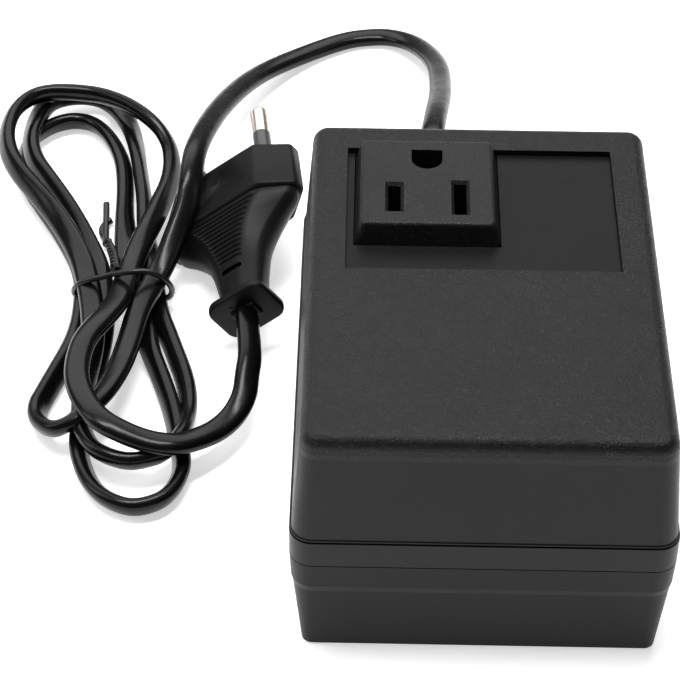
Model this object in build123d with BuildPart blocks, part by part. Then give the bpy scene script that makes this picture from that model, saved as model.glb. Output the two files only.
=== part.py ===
from build123d import *
import math
import os

# Travel voltage converter: a two-shell transformer case with a raised outlet on top,
# a flat mains lead tied in a hank, and a two-pin plug. Millimetres, +Z up.
# The origin is at the centre of the case's bottom face; the outlet is at the back (+Y).

os.makedirs("parts", exist_ok=True)

# Case
case_width = 70.5
case_depth = 96.0
case_height = 52.4
seam_height = 22.7
belt_top = 28.6
belt_bottom = 17.1
groove_inset = 0.8
groove_height = 0.3
ledge_reach = 0.15
ledge_height = 0.3
seam_groove_depth = 0.4
seam_groove_height = 0.2
base_wall_top = 15.6
top_inset = 2.25
cover_wall_inset = 0.35
base_belt_inset = 0.25
base_wall_inset = 0.6
bottom_inset = 2.2
bottom_end_inset = 1.3
belt_corner = 4.2
cover_corner = 3.2
top_edge_radius = 2.4
bottom_edge_radius = 0.6
wall = 2.4
floor_thickness = 2.5
roof_thickness = 3.0

# Lip that joins the two shells
skirt_thickness = 1.2
tongue_thickness = 1.0
tongue_height = 2.0
lip_gap = 0.2

# Share of the shorter run that a bend's tangent takes
bend_share = 0.45

# General fits
fit_gap = 0.15
slack = 0.3
overrun = 1.0

# Case screws and their posts
post_inset_x = 6.45
post_inset_y = 6.1
base_post_radius = 3.5
cover_post_radius = 3.3
case_screw_radius = 1.4
case_screw_head_radius = 2.8
case_screw_head_height = 2.2
case_screw_seat = 14.0
case_screw_length = 20.0
screw_tip_room = 2.0

# Recess in the roof and the smooth plate in it
recess_side_margin = 9.15
recess_back_margin = 10.3
recess_length = 37.0
recess_depth = 1.2
plate_thickness = 0.5
plate_gap = 0.1

# Outlet block
outlet_side_gap = 1.6
outlet_back_gap = 0.45
outlet_rise = 3.3
outlet_width = 28.0
outlet_depth = 28.3
outlet_draft = 1.15
outlet_corner = 1.2
outlet_top_edge = 0.8
outlet_body_inset = 1.0
outlet_body_depth = 20.3
outlet_ear_length = 6.0
outlet_ear_depth = 9.0
outlet_ear_drop = 6.0
outlet_ear_thickness = 2.0
outlet_face_thickness = 2.2

# Blade slots and earth hole, as seen from above with the earth hole at the back
slot_pitch = 12.7
slot_row_offset = -4.9
slot_width = 2.4
short_slot_length = 7.9
long_slot_length = 9.4
slot_lead_in = 0.6
earth_offset = 11.9
earth_width = 6.1
earth_height = 5.9

# Contacts
leaf_thickness = 0.6
blade_gap = 1.4
leaf_width = 6.6
earth_gap = 4.9
earth_leaf_width = 4.9
contact_height = 13.0
contact_tab_width = 4.0
contact_tab_length = 5.0
contact_room = 0.4
retainer_thickness = 2.0

# Outlet screws
outlet_screw_radius = 1.2
outlet_screw_head_radius = 2.3
outlet_screw_head_height = 1.5
outlet_screw_length = 7.0
outlet_post_radius = 2.4
retainer_screw_x = 9.8
retainer_screw_y = 8.4

# Transformer core: E and I laminations lying flat
core_side_room = 8.25
core_post_gap = 0.4
core_outlet_gap = 2.95
core_stack = 27.0
core_bottom = 12.0
lamination_gap = 0.05
core_hole_radius = 1.9
core_hole_inset = 2.8
core_post_radius = 3.4
core_screw_radius = 1.6
core_screw_head_radius = 3.0
core_screw_head_height = 2.2
core_screw_grip = 6.0

# Coil
bobbin_gap = 0.2
bobbin_wall = 1.2
bobbin_flange = 1.2
bobbin_flange_gap = 0.4
inner_winding_share = 0.5
tape_build = 0.4
coil_gap = 1.0
coil_corner = 1.0

# Solder lugs and thermal fuse
lug_width = 4.0
lug_length = 6.0
lug_thickness = 0.6
lug_pitch = 10.0
lug_drop = 3.0
fuse_radius = 1.9
fuse_length = 9.0
fuse_lead_radius = 0.4
fuse_lead_length = 4.0

# Hook-up wires
wire_diameter = 1.6
link_diameter = 1.2

# Mains lead: a flat twin cord of 5.4 x 3.3 mm, drawn as a round tube of like section
cord_diameter = 4.4
lead_x = -8.0
bush_width = 10.0
bush_height = 8.0
bush_flange = 1.5
bush_flange_thickness = 2.0
bush_hole_gap = 0.1
sleeve_radius = 3.6
sleeve_end_radius = 2.9
sleeve_ring_radius = 4.6
sleeve_ring_end_radius = 3.4
sleeve_ring_length = 2.2
sleeve_ring_pitch = 4.2
sleeve_rings = 5
inner_cord_length = 40.0
clamp_inset = 12.0
clamp_width = 22.0
clamp_depth = 5.0
clamp_height = 4.4
clamp_screw_offset = 7.5
clamp_screw_radius = 1.2
clamp_screw_head_radius = 2.3
clamp_screw_head_height = 1.5
clamp_screw_length = 10.0

# Hank: loops drawn in at a waist that the tie holds
hank_x = -74.8
hank_y = 45.5
upper_lean = 12.0
lower_lean = 7.0
layer_step = 5.0
lobe_lift = 0.1
waist_lift = 2.1
waist_sag = 0.45
waist_inner = 1.0
waist_outer = 6.4
waist_bow_left = 3.1
waist_bow_right = 1.4
upper_half_widths = (12.0, 20.7)
upper_shift = -2.8
upper_reaches = (60.5, 70.0)
lower_half_widths = (9.6, 15.4)
lower_shift = 0.3
lower_reaches = (50.0, 60.5)
shoulder_share = 1.15
crown_share = 0.56
entry_run = 11.0
entry_shift = 5.9
entry_rise = 2.5
exit_run = 9.0
exit_shift = 4.8
exit_waist = 1.2
shoulder_climb = 2.5
climb_across = 10.9
climb_along = 27.0
gap_step = 1.0
end_run = 12.0
tail_start_run = 7.5

# Twist tie
tie_radius = 0.6
tie_gap = 0.5
tie_corner = 3.0
tie_twist_radius = 1.1
tie_twist_length = 8.0
tie_end_length = 9.0
twist_across = -4.2
twist_rise = 0.8

# Plug: flat two-pin, lying rolled on its left edge with the pins pointing back
plug_x = -52.2
plug_y = 76.1
plug_z = 12.3
plug_yaw = -7.1
plug_pitch = 2.6
plug_roll = 36.0
head_width = 35.3
head_thickness = 13.7
head_flat = 21.2
head_end = 3.0
head_length = 13.2
head_edge_radius = 1.2
grip_width = 33.4
grip_thickness = 12.4
grip_flat = 20.0
grip_corner = 2.0
grip_steps = 5
neck_width = 10.6
neck_thickness = 7.6
neck_flat = 6.0
neck_start = 34.0
guard_distance = 40.3
guard_width = 13.0
guard_height = 10.2
guard_thickness = 1.8
guard_corner = 2.6
pin_diameter = 4.0
pin_length = 19.0
pin_pitch = 18.2
pin_seat = 9.0
pin_nose = 1.6
pin_core_diameter = 3.0
sleeve_length = 10.0
sleeve_gap = 0.05
bridge_width = 24.0
bridge_thickness = 6.0
bridge_depth = 5.0
bridge_start = 3.0

# Derived case sizes
half_width = case_width / 2
half_depth = case_depth / 2
cover_roof = case_height - roof_thickness
post_x = half_width - post_inset_x
post_y = half_depth - post_inset_y
post_places = [(x, y) for x in (-post_x, post_x) for y in (-post_y, post_y)]
recess_left = -half_width + recess_side_margin
recess_right = half_width - recess_side_margin
recess_back = half_depth - recess_back_margin
recess_front = recess_back - recess_length
recess_floor = case_height - recess_depth
pocket_floor = recess_floor - plate_thickness
outlet_x = recess_left + outlet_side_gap + outlet_width / 2
outlet_y = recess_back - outlet_back_gap - outlet_depth / 2
outlet_top = case_height + outlet_rise
outlet_top_width = outlet_width - 2 * outlet_draft
outlet_top_depth = outlet_depth - 2 * outlet_draft
outlet_body_width = outlet_width - 2 * outlet_body_inset
outlet_body_length = outlet_depth - 2 * outlet_body_inset
outlet_body_bottom = outlet_top - outlet_body_depth
outlet_ear_span = outlet_width + 2 * outlet_ear_length
outlet_ear_top = cover_roof - outlet_ear_drop
outlet_post_offset = outlet_width / 2 + outlet_ear_length / 2
slot_row = outlet_y + slot_row_offset
left_slot_x = outlet_x - slot_pitch / 2
right_slot_x = outlet_x + slot_pitch / 2
earth_y = slot_row + earth_offset
ear_bottom = outlet_ear_top - outlet_ear_thickness
core_front = -post_y + base_post_radius + core_post_gap
core_reach = outlet_y - outlet_body_length / 2 - core_outlet_gap - core_front
core_width = min(case_width - 2 * core_side_room, core_reach * 6 / 5)
core_length = core_width * 5 / 6
core_leg = core_width / 3
core_yoke = core_width / 6
core_y = core_front + core_length / 2
core_top = core_bottom + core_stack
core_middle = core_bottom + core_stack / 2
core_back = core_y + core_length / 2
core_holes = [
    (x * (core_width / 2 - core_hole_inset), core_y + y * (core_length / 2 - core_hole_inset))
    for x in (-1, 1)
    for y in (-1, 1)
]
window_length = core_length - 2 * core_yoke
window_width = (core_width - core_leg) / 2 - core_yoke
bobbin_flange_reach = window_width - bobbin_flange_gap
cord_radius = cord_diameter / 2
clamp_y = half_depth - clamp_inset


def outline(inset, height, end_inset=None, corner=None):
    """Return the case's rounded outline at a height, drawn in from the belt at its sides and ends."""
    end_inset = inset if end_inset is None else end_inset
    corner = max(belt_corner - inset, overrun) if corner is None else corner
    with BuildSketch(Plane.XY.offset(height)) as shape:
        RectangleRounded(case_width - 2 * inset, case_depth - 2 * end_inset, corner)
    return shape.sketch


def inner_inset(height):
    """Return how far the cover's inside is drawn in from the belt at a height."""
    rise = (height - belt_top) / (case_height - belt_top)
    return wall + cover_wall_inset + (top_inset - cover_wall_inset) * rise


def base_inner_inset(height):
    """Return how far the base's inside is drawn in from the belt at a height."""
    return wall + bottom_inset + (base_wall_inset - bottom_inset) * height / base_wall_top


def corner_radii(points):
    """Return one bend radius for each corner of a route."""
    spots = [Vector(*point) for point in points]
    radii = []
    for before, corner, after in zip(spots, spots[1:], spots[2:]):
        first = corner - before
        second = after - corner
        half_turn = math.radians(first.get_angle(second)) / 2
        radii.append(bend_share * min(first.length, second.length) / math.tan(half_turn))
    return radii


def tube(points, diameter):
    """Return a round tube along straight runs joined by tangent arcs."""
    spots = [Vector(*point) for point in points]
    with BuildPart() as piece:
        with BuildLine() as route:
            FilletPolyline(*spots, radius=corner_radii(points))
        with BuildSketch(Plane(origin=spots[0], z_dir=spots[1] - spots[0])):
            Circle(diameter / 2)
        sweep(path=route.wire())
    return piece.part, route.wire()


def report_route(name, piece, wire, points):
    """Print a route's length, its least bend radius and its volume against section x length."""
    area = math.pi * cord_radius ** 2
    share = piece.volume / (area * wire.length)
    radii = ", ".join(f"{radius:.1f}" for radius in corner_radii(points))
    print(f"{name}: length {wire.length:.1f}, volume share {share:.4f}, radii {radii}")


def write(piece, name):
    """Label a piece and write it as its own file."""
    piece.label = name
    export_step(piece, f"parts/{name}.step")


# Base shell: tapered wall, chamfer, belt, screw posts, core posts and cord saddle
clamp_seat = seam_height - cord_radius
bush_back = half_depth + bush_flange_thickness
bush_end = bush_back + sleeve_rings * sleeve_ring_pitch
with BuildPart() as base_shell:
    add(outline(bottom_inset, 0, bottom_end_inset))
    add(outline(base_wall_inset, base_wall_top))
    loft()
    add(outline(base_wall_inset, base_wall_top))
    add(outline(base_belt_inset, belt_bottom))
    loft()
    add(outline(base_belt_inset, belt_bottom))
    add(outline(0, seam_height))
    loft()
    fillet(base_shell.faces().sort_by(Axis.Z)[0].edges(), bottom_edge_radius)
    add(outline(base_inner_inset(floor_thickness), floor_thickness))
    add(outline(base_inner_inset(base_wall_top), base_wall_top))
    loft(mode=Mode.SUBTRACT)
    add(outline(base_inner_inset(base_wall_top), base_wall_top))
    add(outline(wall, seam_height))
    loft(mode=Mode.SUBTRACT)
    with BuildSketch(Plane.XY.offset(belt_bottom)):
        add(outline(skirt_thickness + lip_gap, 0))
        add(outline(skirt_thickness + lip_gap + tongue_thickness, 0), mode=Mode.SUBTRACT)
    extrude(amount=seam_height + tongue_height - belt_bottom)
    with BuildSketch(Plane.XY.offset(floor_thickness - bottom_edge_radius)):
        with Locations(*post_places):
            Circle(base_post_radius)
    extrude(amount=seam_height - floor_thickness + bottom_edge_radius)
    with BuildSketch(Plane.XY.offset(floor_thickness - bottom_edge_radius)):
        with Locations(*core_holes):
            Circle(core_post_radius)
    extrude(amount=core_bottom - floor_thickness + bottom_edge_radius)
    with BuildSketch(Plane.XY.offset(floor_thickness - bottom_edge_radius)):
        with Locations((lead_x, clamp_y)):
            Rectangle(clamp_width, clamp_depth)
    extrude(amount=clamp_seat - floor_thickness + bottom_edge_radius)
    with Locations(*[Location((x, y, 0), (180, 0, 0)) for x, y in post_places]):
        CounterBoreHole(
            case_screw_radius + slack, case_screw_head_radius + slack, case_screw_seat, seam_height
        )
    with Locations(*[(x, y, core_bottom) for x, y in core_holes]):
        Hole(core_screw_radius + fit_gap, core_screw_grip + screw_tip_room)
    with Locations(*[(lead_x + x, clamp_y, clamp_seat) for x in (-clamp_screw_offset, clamp_screw_offset)]):
        Hole(clamp_screw_radius + fit_gap, clamp_screw_length)
    with BuildSketch(Plane.XZ.offset(-half_depth - overrun)):
        with Locations((lead_x, seam_height + overrun)):
            Rectangle(bush_width + 2 * fit_gap, bush_height + 2 * overrun + 2 * fit_gap)
    extrude(amount=wall + 2 * overrun, mode=Mode.SUBTRACT)

# Cover: belt, drafted wall, rounded top edge, recess, outlet window and posts
window_width_cut = outlet_width + 2 * fit_gap
window_depth_cut = outlet_depth + 2 * fit_gap
recess_x = (recess_left + recess_right) / 2
recess_y = (recess_front + recess_back) / 2
outlet_post_places = [(outlet_x + x, outlet_y) for x in (-outlet_post_offset, outlet_post_offset)]
skirt_top = seam_height + tongue_height + lip_gap
with BuildPart() as top_cover:
    add(outline(cover_wall_inset, belt_top))
    add(outline(top_inset, case_height, corner=cover_corner))
    loft()
    fillet(top_cover.faces().sort_by(Axis.Z)[-1].edges(), top_edge_radius)
    add(outline(cover_wall_inset - ledge_reach, belt_top))
    extrude(amount=groove_height + ledge_height)
    with BuildSketch(Plane.XY.offset(belt_top)):
        add(outline(-overrun, 0))
        add(outline(groove_inset, 0), mode=Mode.SUBTRACT)
    extrude(amount=groove_height, mode=Mode.SUBTRACT)
    add(outline(0, seam_height))
    extrude(amount=belt_top - seam_height)
    with BuildSketch(Plane.XY.offset(seam_height)):
        add(outline(-overrun, 0))
        add(outline(seam_groove_depth, 0), mode=Mode.SUBTRACT)
    extrude(amount=seam_groove_height, mode=Mode.SUBTRACT)
    add(outline(wall + cover_wall_inset, seam_height))
    extrude(amount=belt_top - seam_height, mode=Mode.SUBTRACT)
    add(outline(skirt_thickness, seam_height))
    extrude(amount=skirt_top - seam_height, mode=Mode.SUBTRACT)
    add(outline(inner_inset(belt_top), belt_top))
    add(outline(inner_inset(cover_roof), cover_roof))
    loft(mode=Mode.SUBTRACT)
    with BuildSketch(Plane.XY.offset(seam_height)):
        with Locations(*post_places):
            Circle(cover_post_radius)
    extrude(amount=cover_roof + overrun - seam_height)
    with BuildSketch(Plane.XY.offset(outlet_ear_top)):
        with Locations(*outlet_post_places):
            Circle(outlet_post_radius)
    extrude(amount=cover_roof - outlet_ear_top)
    with BuildSketch(Plane.XY.offset(pocket_floor)):
        with Locations((recess_x, recess_y)):
            Rectangle(recess_right - recess_left, recess_back - recess_front)
    extrude(amount=case_height - pocket_floor + overrun, mode=Mode.SUBTRACT)
    with BuildSketch(Plane.XY.offset(cover_roof - overrun)):
        with Locations((outlet_x, outlet_y)):
            Rectangle(window_width_cut, window_depth_cut)
    extrude(amount=roof_thickness + 2 * overrun, mode=Mode.SUBTRACT)
    with BuildSketch(Plane.XY.offset(seam_height)):
        with Locations(*post_places):
            Circle(case_screw_radius + fit_gap)
    extrude(
        amount=case_screw_seat + case_screw_length + screw_tip_room - seam_height, mode=Mode.SUBTRACT
    )
    with BuildSketch(Plane.XY.offset(outlet_ear_top)):
        with Locations(*outlet_post_places):
            Circle(outlet_screw_radius + fit_gap)
    extrude(amount=outlet_screw_length - outlet_ear_thickness + slack, mode=Mode.SUBTRACT)
    with BuildSketch(Plane.XZ.offset(-half_depth - overrun)):
        with Locations((lead_x, seam_height - overrun)):
            Rectangle(bush_width + 2 * fit_gap, bush_height + 2 * overrun + 2 * fit_gap)
    extrude(amount=wall + cover_wall_inset + 2 * overrun, mode=Mode.SUBTRACT)

# Smooth plate in the recess, with a window for the outlet block
with BuildPart() as nameplate:
    with BuildSketch(Plane.XY.offset(pocket_floor)):
        with Locations((recess_x, recess_y)):
            Rectangle(recess_right - recess_left - 2 * plate_gap, recess_back - recess_front - 2 * plate_gap)
        with Locations((outlet_x, outlet_y)):
            Rectangle(window_width_cut, window_depth_cut, mode=Mode.SUBTRACT)
    extrude(amount=plate_thickness)

# Outlet housing: drafted block, straight neck, ears and a body with contact pockets
retainer_screw_places = [(x, retainer_screw_y) for x in (-retainer_screw_x, retainer_screw_x)]
pocket_width = 2 * leaf_thickness + blade_gap + 2 * contact_room
pocket_depth = leaf_width + 2 * contact_room
earth_pocket_width = earth_gap + 2 * leaf_thickness + 2 * contact_room
earth_pocket_depth = earth_leaf_width + 2 * contact_room
with BuildPart() as outlet_housing:
    with BuildSketch(Plane.XY.offset(recess_floor)):
        with Locations((outlet_x, outlet_y)):
            RectangleRounded(outlet_width, outlet_depth, outlet_corner)
    with BuildSketch(Plane.XY.offset(outlet_top)):
        with Locations((outlet_x, outlet_y)):
            RectangleRounded(outlet_top_width, outlet_top_depth, outlet_corner)
    loft()
    fillet(outlet_housing.faces().sort_by(Axis.Z)[-1].edges(), outlet_top_edge)
    with BuildSketch(Plane.XY.offset(ear_bottom)):
        with Locations((outlet_x, outlet_y)):
            RectangleRounded(outlet_width, outlet_depth, outlet_corner)
    extrude(amount=recess_floor - ear_bottom)
    with BuildSketch(Plane.XY.offset(ear_bottom)):
        with Locations((outlet_x, outlet_y)):
            Rectangle(outlet_ear_span, outlet_ear_depth)
    extrude(amount=outlet_ear_thickness)
    with BuildSketch(Plane.XY.offset(outlet_body_bottom)):
        with Locations((outlet_x, outlet_y)):
            Rectangle(outlet_body_width, outlet_body_length)
    extrude(amount=ear_bottom - outlet_body_bottom)
    with BuildSketch(Plane.XY.offset(outlet_body_bottom)):
        with Locations((left_slot_x, slot_row), (right_slot_x, slot_row)):
            Rectangle(pocket_width, pocket_depth)
        with Locations((outlet_x, earth_y)):
            Rectangle(earth_pocket_width, earth_pocket_depth)
    extrude(amount=outlet_top - outlet_face_thickness - outlet_body_bottom, mode=Mode.SUBTRACT)
    with BuildSketch(Plane.XY.offset(outlet_body_bottom)):
        with Locations((left_slot_x, slot_row)):
            Rectangle(slot_width, short_slot_length)
        with Locations((right_slot_x, slot_row)):
            Rectangle(slot_width, long_slot_length)
    extrude(amount=outlet_top + overrun - outlet_body_bottom, mode=Mode.SUBTRACT)
    slot_rims = outlet_housing.faces().sort_by(Axis.Z)[-1].inner_wires()
    chamfer([edge for rim in slot_rims for edge in rim.edges()], slot_lead_in)
    with BuildSketch(Plane.XY.offset(outlet_top - outlet_face_thickness - overrun)):
        with Locations((outlet_x, earth_y)):
            Circle(earth_width / 2)
            Rectangle(earth_width, earth_height / 2, align=(Align.CENTER, Align.MIN))
    extrude(amount=outlet_face_thickness + 2 * overrun, mode=Mode.SUBTRACT)
    with BuildSketch(Plane.XY.offset(ear_bottom)):
        with Locations(*outlet_post_places):
            Circle(outlet_screw_radius + fit_gap)
    extrude(amount=outlet_ear_thickness, mode=Mode.SUBTRACT)
    with BuildSketch(Plane.XY.offset(outlet_body_bottom)):
        with Locations(*[(outlet_x + x, outlet_y + y) for x, y in retainer_screw_places]):
            Circle(outlet_screw_radius + fit_gap)
    extrude(amount=outlet_screw_length - retainer_thickness + slack, mode=Mode.SUBTRACT)

# Retainer that closes the outlet's body from below
retainer_bottom = outlet_body_bottom - retainer_thickness
contact_places = [(left_slot_x, slot_row), (right_slot_x, slot_row), (outlet_x, earth_y)]
with BuildPart() as outlet_retainer:
    with BuildSketch(Plane.XY.offset(retainer_bottom)):
        with Locations((outlet_x, outlet_y)):
            Rectangle(outlet_body_width, outlet_body_length)
        with Locations(*contact_places):
            Rectangle(leaf_thickness + 2 * fit_gap, contact_tab_width + 2 * fit_gap, mode=Mode.SUBTRACT)
        with Locations(*[(outlet_x + x, outlet_y + y) for x, y in retainer_screw_places]):
            Circle(outlet_screw_radius + fit_gap, mode=Mode.SUBTRACT)
    extrude(amount=retainer_thickness)


def contact(x, y, gap, width):
    """Return a two-leaf contact that stands on the retainer, with a tab through it."""
    with BuildPart() as piece:
        with BuildSketch(Plane.XZ.offset(-y - width / 2)):
            with Locations((x, outlet_body_bottom)):
                Rectangle(gap + 2 * leaf_thickness, contact_height, align=(Align.CENTER, Align.MIN))
            with Locations((x, outlet_body_bottom + leaf_thickness)):
                Rectangle(gap, contact_height, align=(Align.CENTER, Align.MIN), mode=Mode.SUBTRACT)
        extrude(amount=width)
        with BuildSketch(Plane.XY.offset(outlet_body_bottom)):
            with Locations((x, y)):
                Rectangle(leaf_thickness, contact_tab_width)
        extrude(amount=-retainer_thickness - contact_tab_length)
    return piece.part


contact_left = contact(left_slot_x, slot_row, blade_gap, leaf_width)
contact_right = contact(right_slot_x, slot_row, blade_gap, leaf_width)
contact_earth = contact(outlet_x, earth_y, earth_gap, earth_leaf_width)


def pan_screw(shank_radius, head_radius, head_height, length):
    """Return a pan-head screw, its head below z = 0 and its shank above."""
    with BuildPart() as piece:
        Cylinder(shank_radius, length, align=(Align.CENTER, Align.CENTER, Align.MIN))
        chamfer(piece.faces().sort_by(Axis.Z)[-1].edges(), shank_radius / 2)
        Cylinder(head_radius, head_height, align=(Align.CENTER, Align.CENTER, Align.MAX))
        fillet(piece.faces().sort_by(Axis.Z)[0].edges(), head_height / 2)
        with BuildSketch(Plane.XY.offset(-head_height)):
            with Locations((0, 0, 0)):
                Rectangle(head_radius, head_height / 3)
                Rectangle(head_height / 3, head_radius)
        extrude(amount=head_height / 2, mode=Mode.SUBTRACT)
    return piece.part


def screw_set(screw, places):
    """Return copies of a screw, each at its own location."""
    with BuildPart() as group:
        with Locations(*places):
            add(screw)
    return group.part


case_screw = pan_screw(
    case_screw_radius, case_screw_head_radius, case_screw_head_height, case_screw_length
)
case_screws = screw_set(case_screw, [(x, y, case_screw_seat) for x, y in post_places])
outlet_screw = pan_screw(
    outlet_screw_radius, outlet_screw_head_radius, outlet_screw_head_height, outlet_screw_length
)
outlet_screws = screw_set(
    outlet_screw,
    [(x, y, ear_bottom) for x, y in outlet_post_places]
    + [(outlet_x + x, outlet_y + y, retainer_bottom) for x, y in retainer_screw_places],
)
core_screw = pan_screw(
    core_screw_radius, core_screw_head_radius, core_screw_head_height, core_stack + core_screw_grip
)
core_screws = screw_set(core_screw, [Location((x, y, core_top), (180, 0, 0)) for x, y in core_holes])

# Core: the E stack opens to the front and the I stack closes it
with BuildPart() as core_e:
    with BuildSketch(Plane.XY.offset(core_bottom)):
        with Locations((0, core_y + core_yoke / 2)):
            Rectangle(core_width, core_length - core_yoke)
        with Locations(*[(side * (core_leg + window_width) / 2, core_y) for side in (-1, 1)]):
            Rectangle(window_width, window_length, mode=Mode.SUBTRACT)
        with Locations(*core_holes[1::2]):
            Circle(core_hole_radius, mode=Mode.SUBTRACT)
    extrude(amount=core_stack)
with BuildPart() as core_i:
    with BuildSketch(Plane.XY.offset(core_bottom)):
        with Locations((0, core_y - (core_length - core_yoke) / 2 - lamination_gap)):
            Rectangle(core_width, core_yoke)
        with Locations(*core_holes[0::2]):
            Circle(core_hole_radius, mode=Mode.SUBTRACT)
    extrude(amount=core_stack)

# Coil: bobbin, two windings and an outer tape, all around the middle leg
bobbin_length = window_length - 2 * bobbin_gap
winding_length = bobbin_length - 2 * bobbin_flange - 2 * lamination_gap
coil_plane = Plane((0, core_y, core_middle), x_dir=(1, 0, 0), z_dir=(0, 1, 0))


def coil_ring(inner_build, outer_build, length, corner):
    """Return a rectangular ring around the middle leg, between two builds."""
    with BuildPart() as piece:
        with BuildSketch(coil_plane):
            RectangleRounded(core_leg + 2 * outer_build, core_stack + 2 * outer_build, corner)
            Rectangle(core_leg + 2 * inner_build, core_stack + 2 * inner_build, mode=Mode.SUBTRACT)
        extrude(amount=length / 2, both=True)
    return piece.part


bobbin_outer = bobbin_gap + bobbin_wall
tape_outer = window_width - coil_gap
outer_winding_outer = tape_outer - tape_build
inner_winding_outer = bobbin_outer + inner_winding_share * (outer_winding_outer - bobbin_outer)
with BuildPart() as bobbin:
    add(coil_ring(bobbin_gap, bobbin_outer, bobbin_length, coil_corner))
    with BuildSketch(
        coil_plane.offset(bobbin_length / 2 - bobbin_flange), coil_plane.offset(-bobbin_length / 2)
    ):
        RectangleRounded(
            core_leg + 2 * bobbin_flange_reach, core_stack + 2 * bobbin_flange_reach, coil_corner
        )
        Rectangle(core_leg + 2 * bobbin_gap, core_stack + 2 * bobbin_gap, mode=Mode.SUBTRACT)
    extrude(amount=bobbin_flange)
winding_inner = coil_ring(bobbin_outer, inner_winding_outer, winding_length, coil_corner)
winding_outer = coil_ring(inner_winding_outer, outer_winding_outer, winding_length, coil_corner)
coil_tape = coil_ring(outer_winding_outer, tape_outer, winding_length, coil_corner)

# Solder lugs on the bobbin's back flange
flange_back = core_y + bobbin_length / 2
flange_top = core_middle + core_stack / 2 + bobbin_flange_reach
lug_height = flange_top - lug_drop
lug_places = [(x, flange_back + lug_length / 2, lug_height) for x in (-lug_pitch, 0, lug_pitch)]
with BuildPart() as solder_lugs:
    with Locations(*lug_places):
        Box(lug_width, lug_length, lug_thickness)
lug_tip = flange_back + lug_length

# Thermal fuse, lying on the core's back yoke
fuse_height = core_top + fuse_radius + lamination_gap
fuse_y = core_back - fuse_radius - fuse_lead_radius
fuse_x = lug_pitch + fuse_radius
with BuildPart() as thermal_fuse:
    with Locations(Location((fuse_x, fuse_y, fuse_height), (0, 90, 0))):
        Cylinder(fuse_radius, fuse_length)
        Cylinder(fuse_lead_radius, fuse_length + fuse_lead_length)

# Strain relief bush, seated in the notch of both shells
with BuildPart() as cord_bush:
    with BuildSketch(Plane.XZ.offset(-half_depth - bush_flange_thickness)):
        with Locations((lead_x, seam_height)):
            Rectangle(bush_width + 2 * bush_flange, bush_height + 2 * bush_flange)
    extrude(amount=bush_flange_thickness)
    with BuildSketch(Plane.XZ.offset(-half_depth)):
        with Locations((lead_x, seam_height)):
            Rectangle(bush_width, bush_height)
    extrude(amount=wall + cover_wall_inset)
    with BuildSketch(Plane.XZ.offset(-bush_back)):
        with Locations((lead_x, seam_height)):
            Circle(sleeve_radius)
    with BuildSketch(Plane.XZ.offset(-bush_end)):
        with Locations((lead_x, seam_height)):
            Circle(sleeve_end_radius)
    loft()
    for ring in range(1, sleeve_rings + 1):
        ring_radius = sleeve_ring_radius + (sleeve_ring_end_radius - sleeve_ring_radius) * ring / sleeve_rings
        with BuildSketch(Plane.XZ.offset(-bush_back - ring * sleeve_ring_pitch)):
            with Locations((lead_x, seam_height)):
                Circle(ring_radius)
        extrude(amount=sleeve_ring_length)
    with BuildSketch(Plane.XZ.offset(-bush_end - overrun)):
        with Locations((lead_x, seam_height)):
            Circle(cord_radius + bush_hole_gap)
    extrude(amount=bush_end - half_depth + wall + cover_wall_inset + 2 * overrun, mode=Mode.SUBTRACT)

# Jacketed end of the lead inside the case, and the clamp that holds it
with BuildPart() as cord_inner:
    with BuildSketch(Plane.XZ.offset(-bush_end)):
        with Locations((lead_x, seam_height)):
            Circle(cord_radius)
    extrude(amount=inner_cord_length)
cord_inner_end = bush_end - inner_cord_length
with BuildPart() as cord_clamp:
    with BuildSketch(Plane.XY.offset(clamp_seat)):
        with Locations((lead_x, clamp_y)):
            Rectangle(clamp_width, clamp_depth)
    extrude(amount=clamp_height + cord_radius)
    with BuildSketch(Plane.XZ.offset(-clamp_y - clamp_depth)):
        with Locations((lead_x, seam_height)):
            Circle(cord_radius + bush_hole_gap)
        with Locations((lead_x, clamp_seat)):
            Rectangle(cord_diameter + 2 * bush_hole_gap, cord_diameter, align=(Align.CENTER, Align.CENTER))
    extrude(amount=2 * clamp_depth, mode=Mode.SUBTRACT)
    with BuildSketch(Plane.XY.offset(clamp_seat)):
        with Locations(*[(lead_x + x, clamp_y) for x in (-clamp_screw_offset, clamp_screw_offset)]):
            Circle(clamp_screw_radius + fit_gap)
    extrude(amount=clamp_height + cord_radius, mode=Mode.SUBTRACT)
clamp_top = clamp_seat + clamp_height + cord_radius
clamp_screw = pan_screw(
    clamp_screw_radius, clamp_screw_head_radius, clamp_screw_head_height, clamp_screw_length
)
clamp_screws = screw_set(
    clamp_screw,
    [
        Location((lead_x + x, clamp_y, clamp_top), (180, 0, 0))
        for x in (-clamp_screw_offset, clamp_screw_offset)
    ],
)

# Hook-up wires inside the case
wire_radius = wire_diameter / 2
tab_bottom = retainer_bottom - contact_tab_length
wire_end_height = tab_bottom - wire_radius - lamination_gap
lug_wire_height = lug_height - lug_thickness / 2 - wire_radius - lamination_gap


def outlet_wire(lug_x, tab_x):
    """Return a wire from under a lug's tip, down behind the core, to below a contact's tab."""
    route = [
        (lug_x, lug_tip - wire_diameter, lug_wire_height),
        (lug_x, wire_gap_y - 1.5 * wire_diameter, lug_wire_height - wire_radius / 2),
        (lug_x + (tab_x - lug_x) / 4, wire_gap_y, core_top - wire_radius),
        (lug_x + (tab_x - lug_x) / 2, wire_gap_y + lamination_gap, retainer_bottom),
        (tab_x, slot_row - 2 * wire_diameter, wire_end_height - wire_diameter),
        (tab_x, slot_row + wire_diameter, wire_end_height),
    ]
    return tube(route, wire_diameter)[0]


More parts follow.
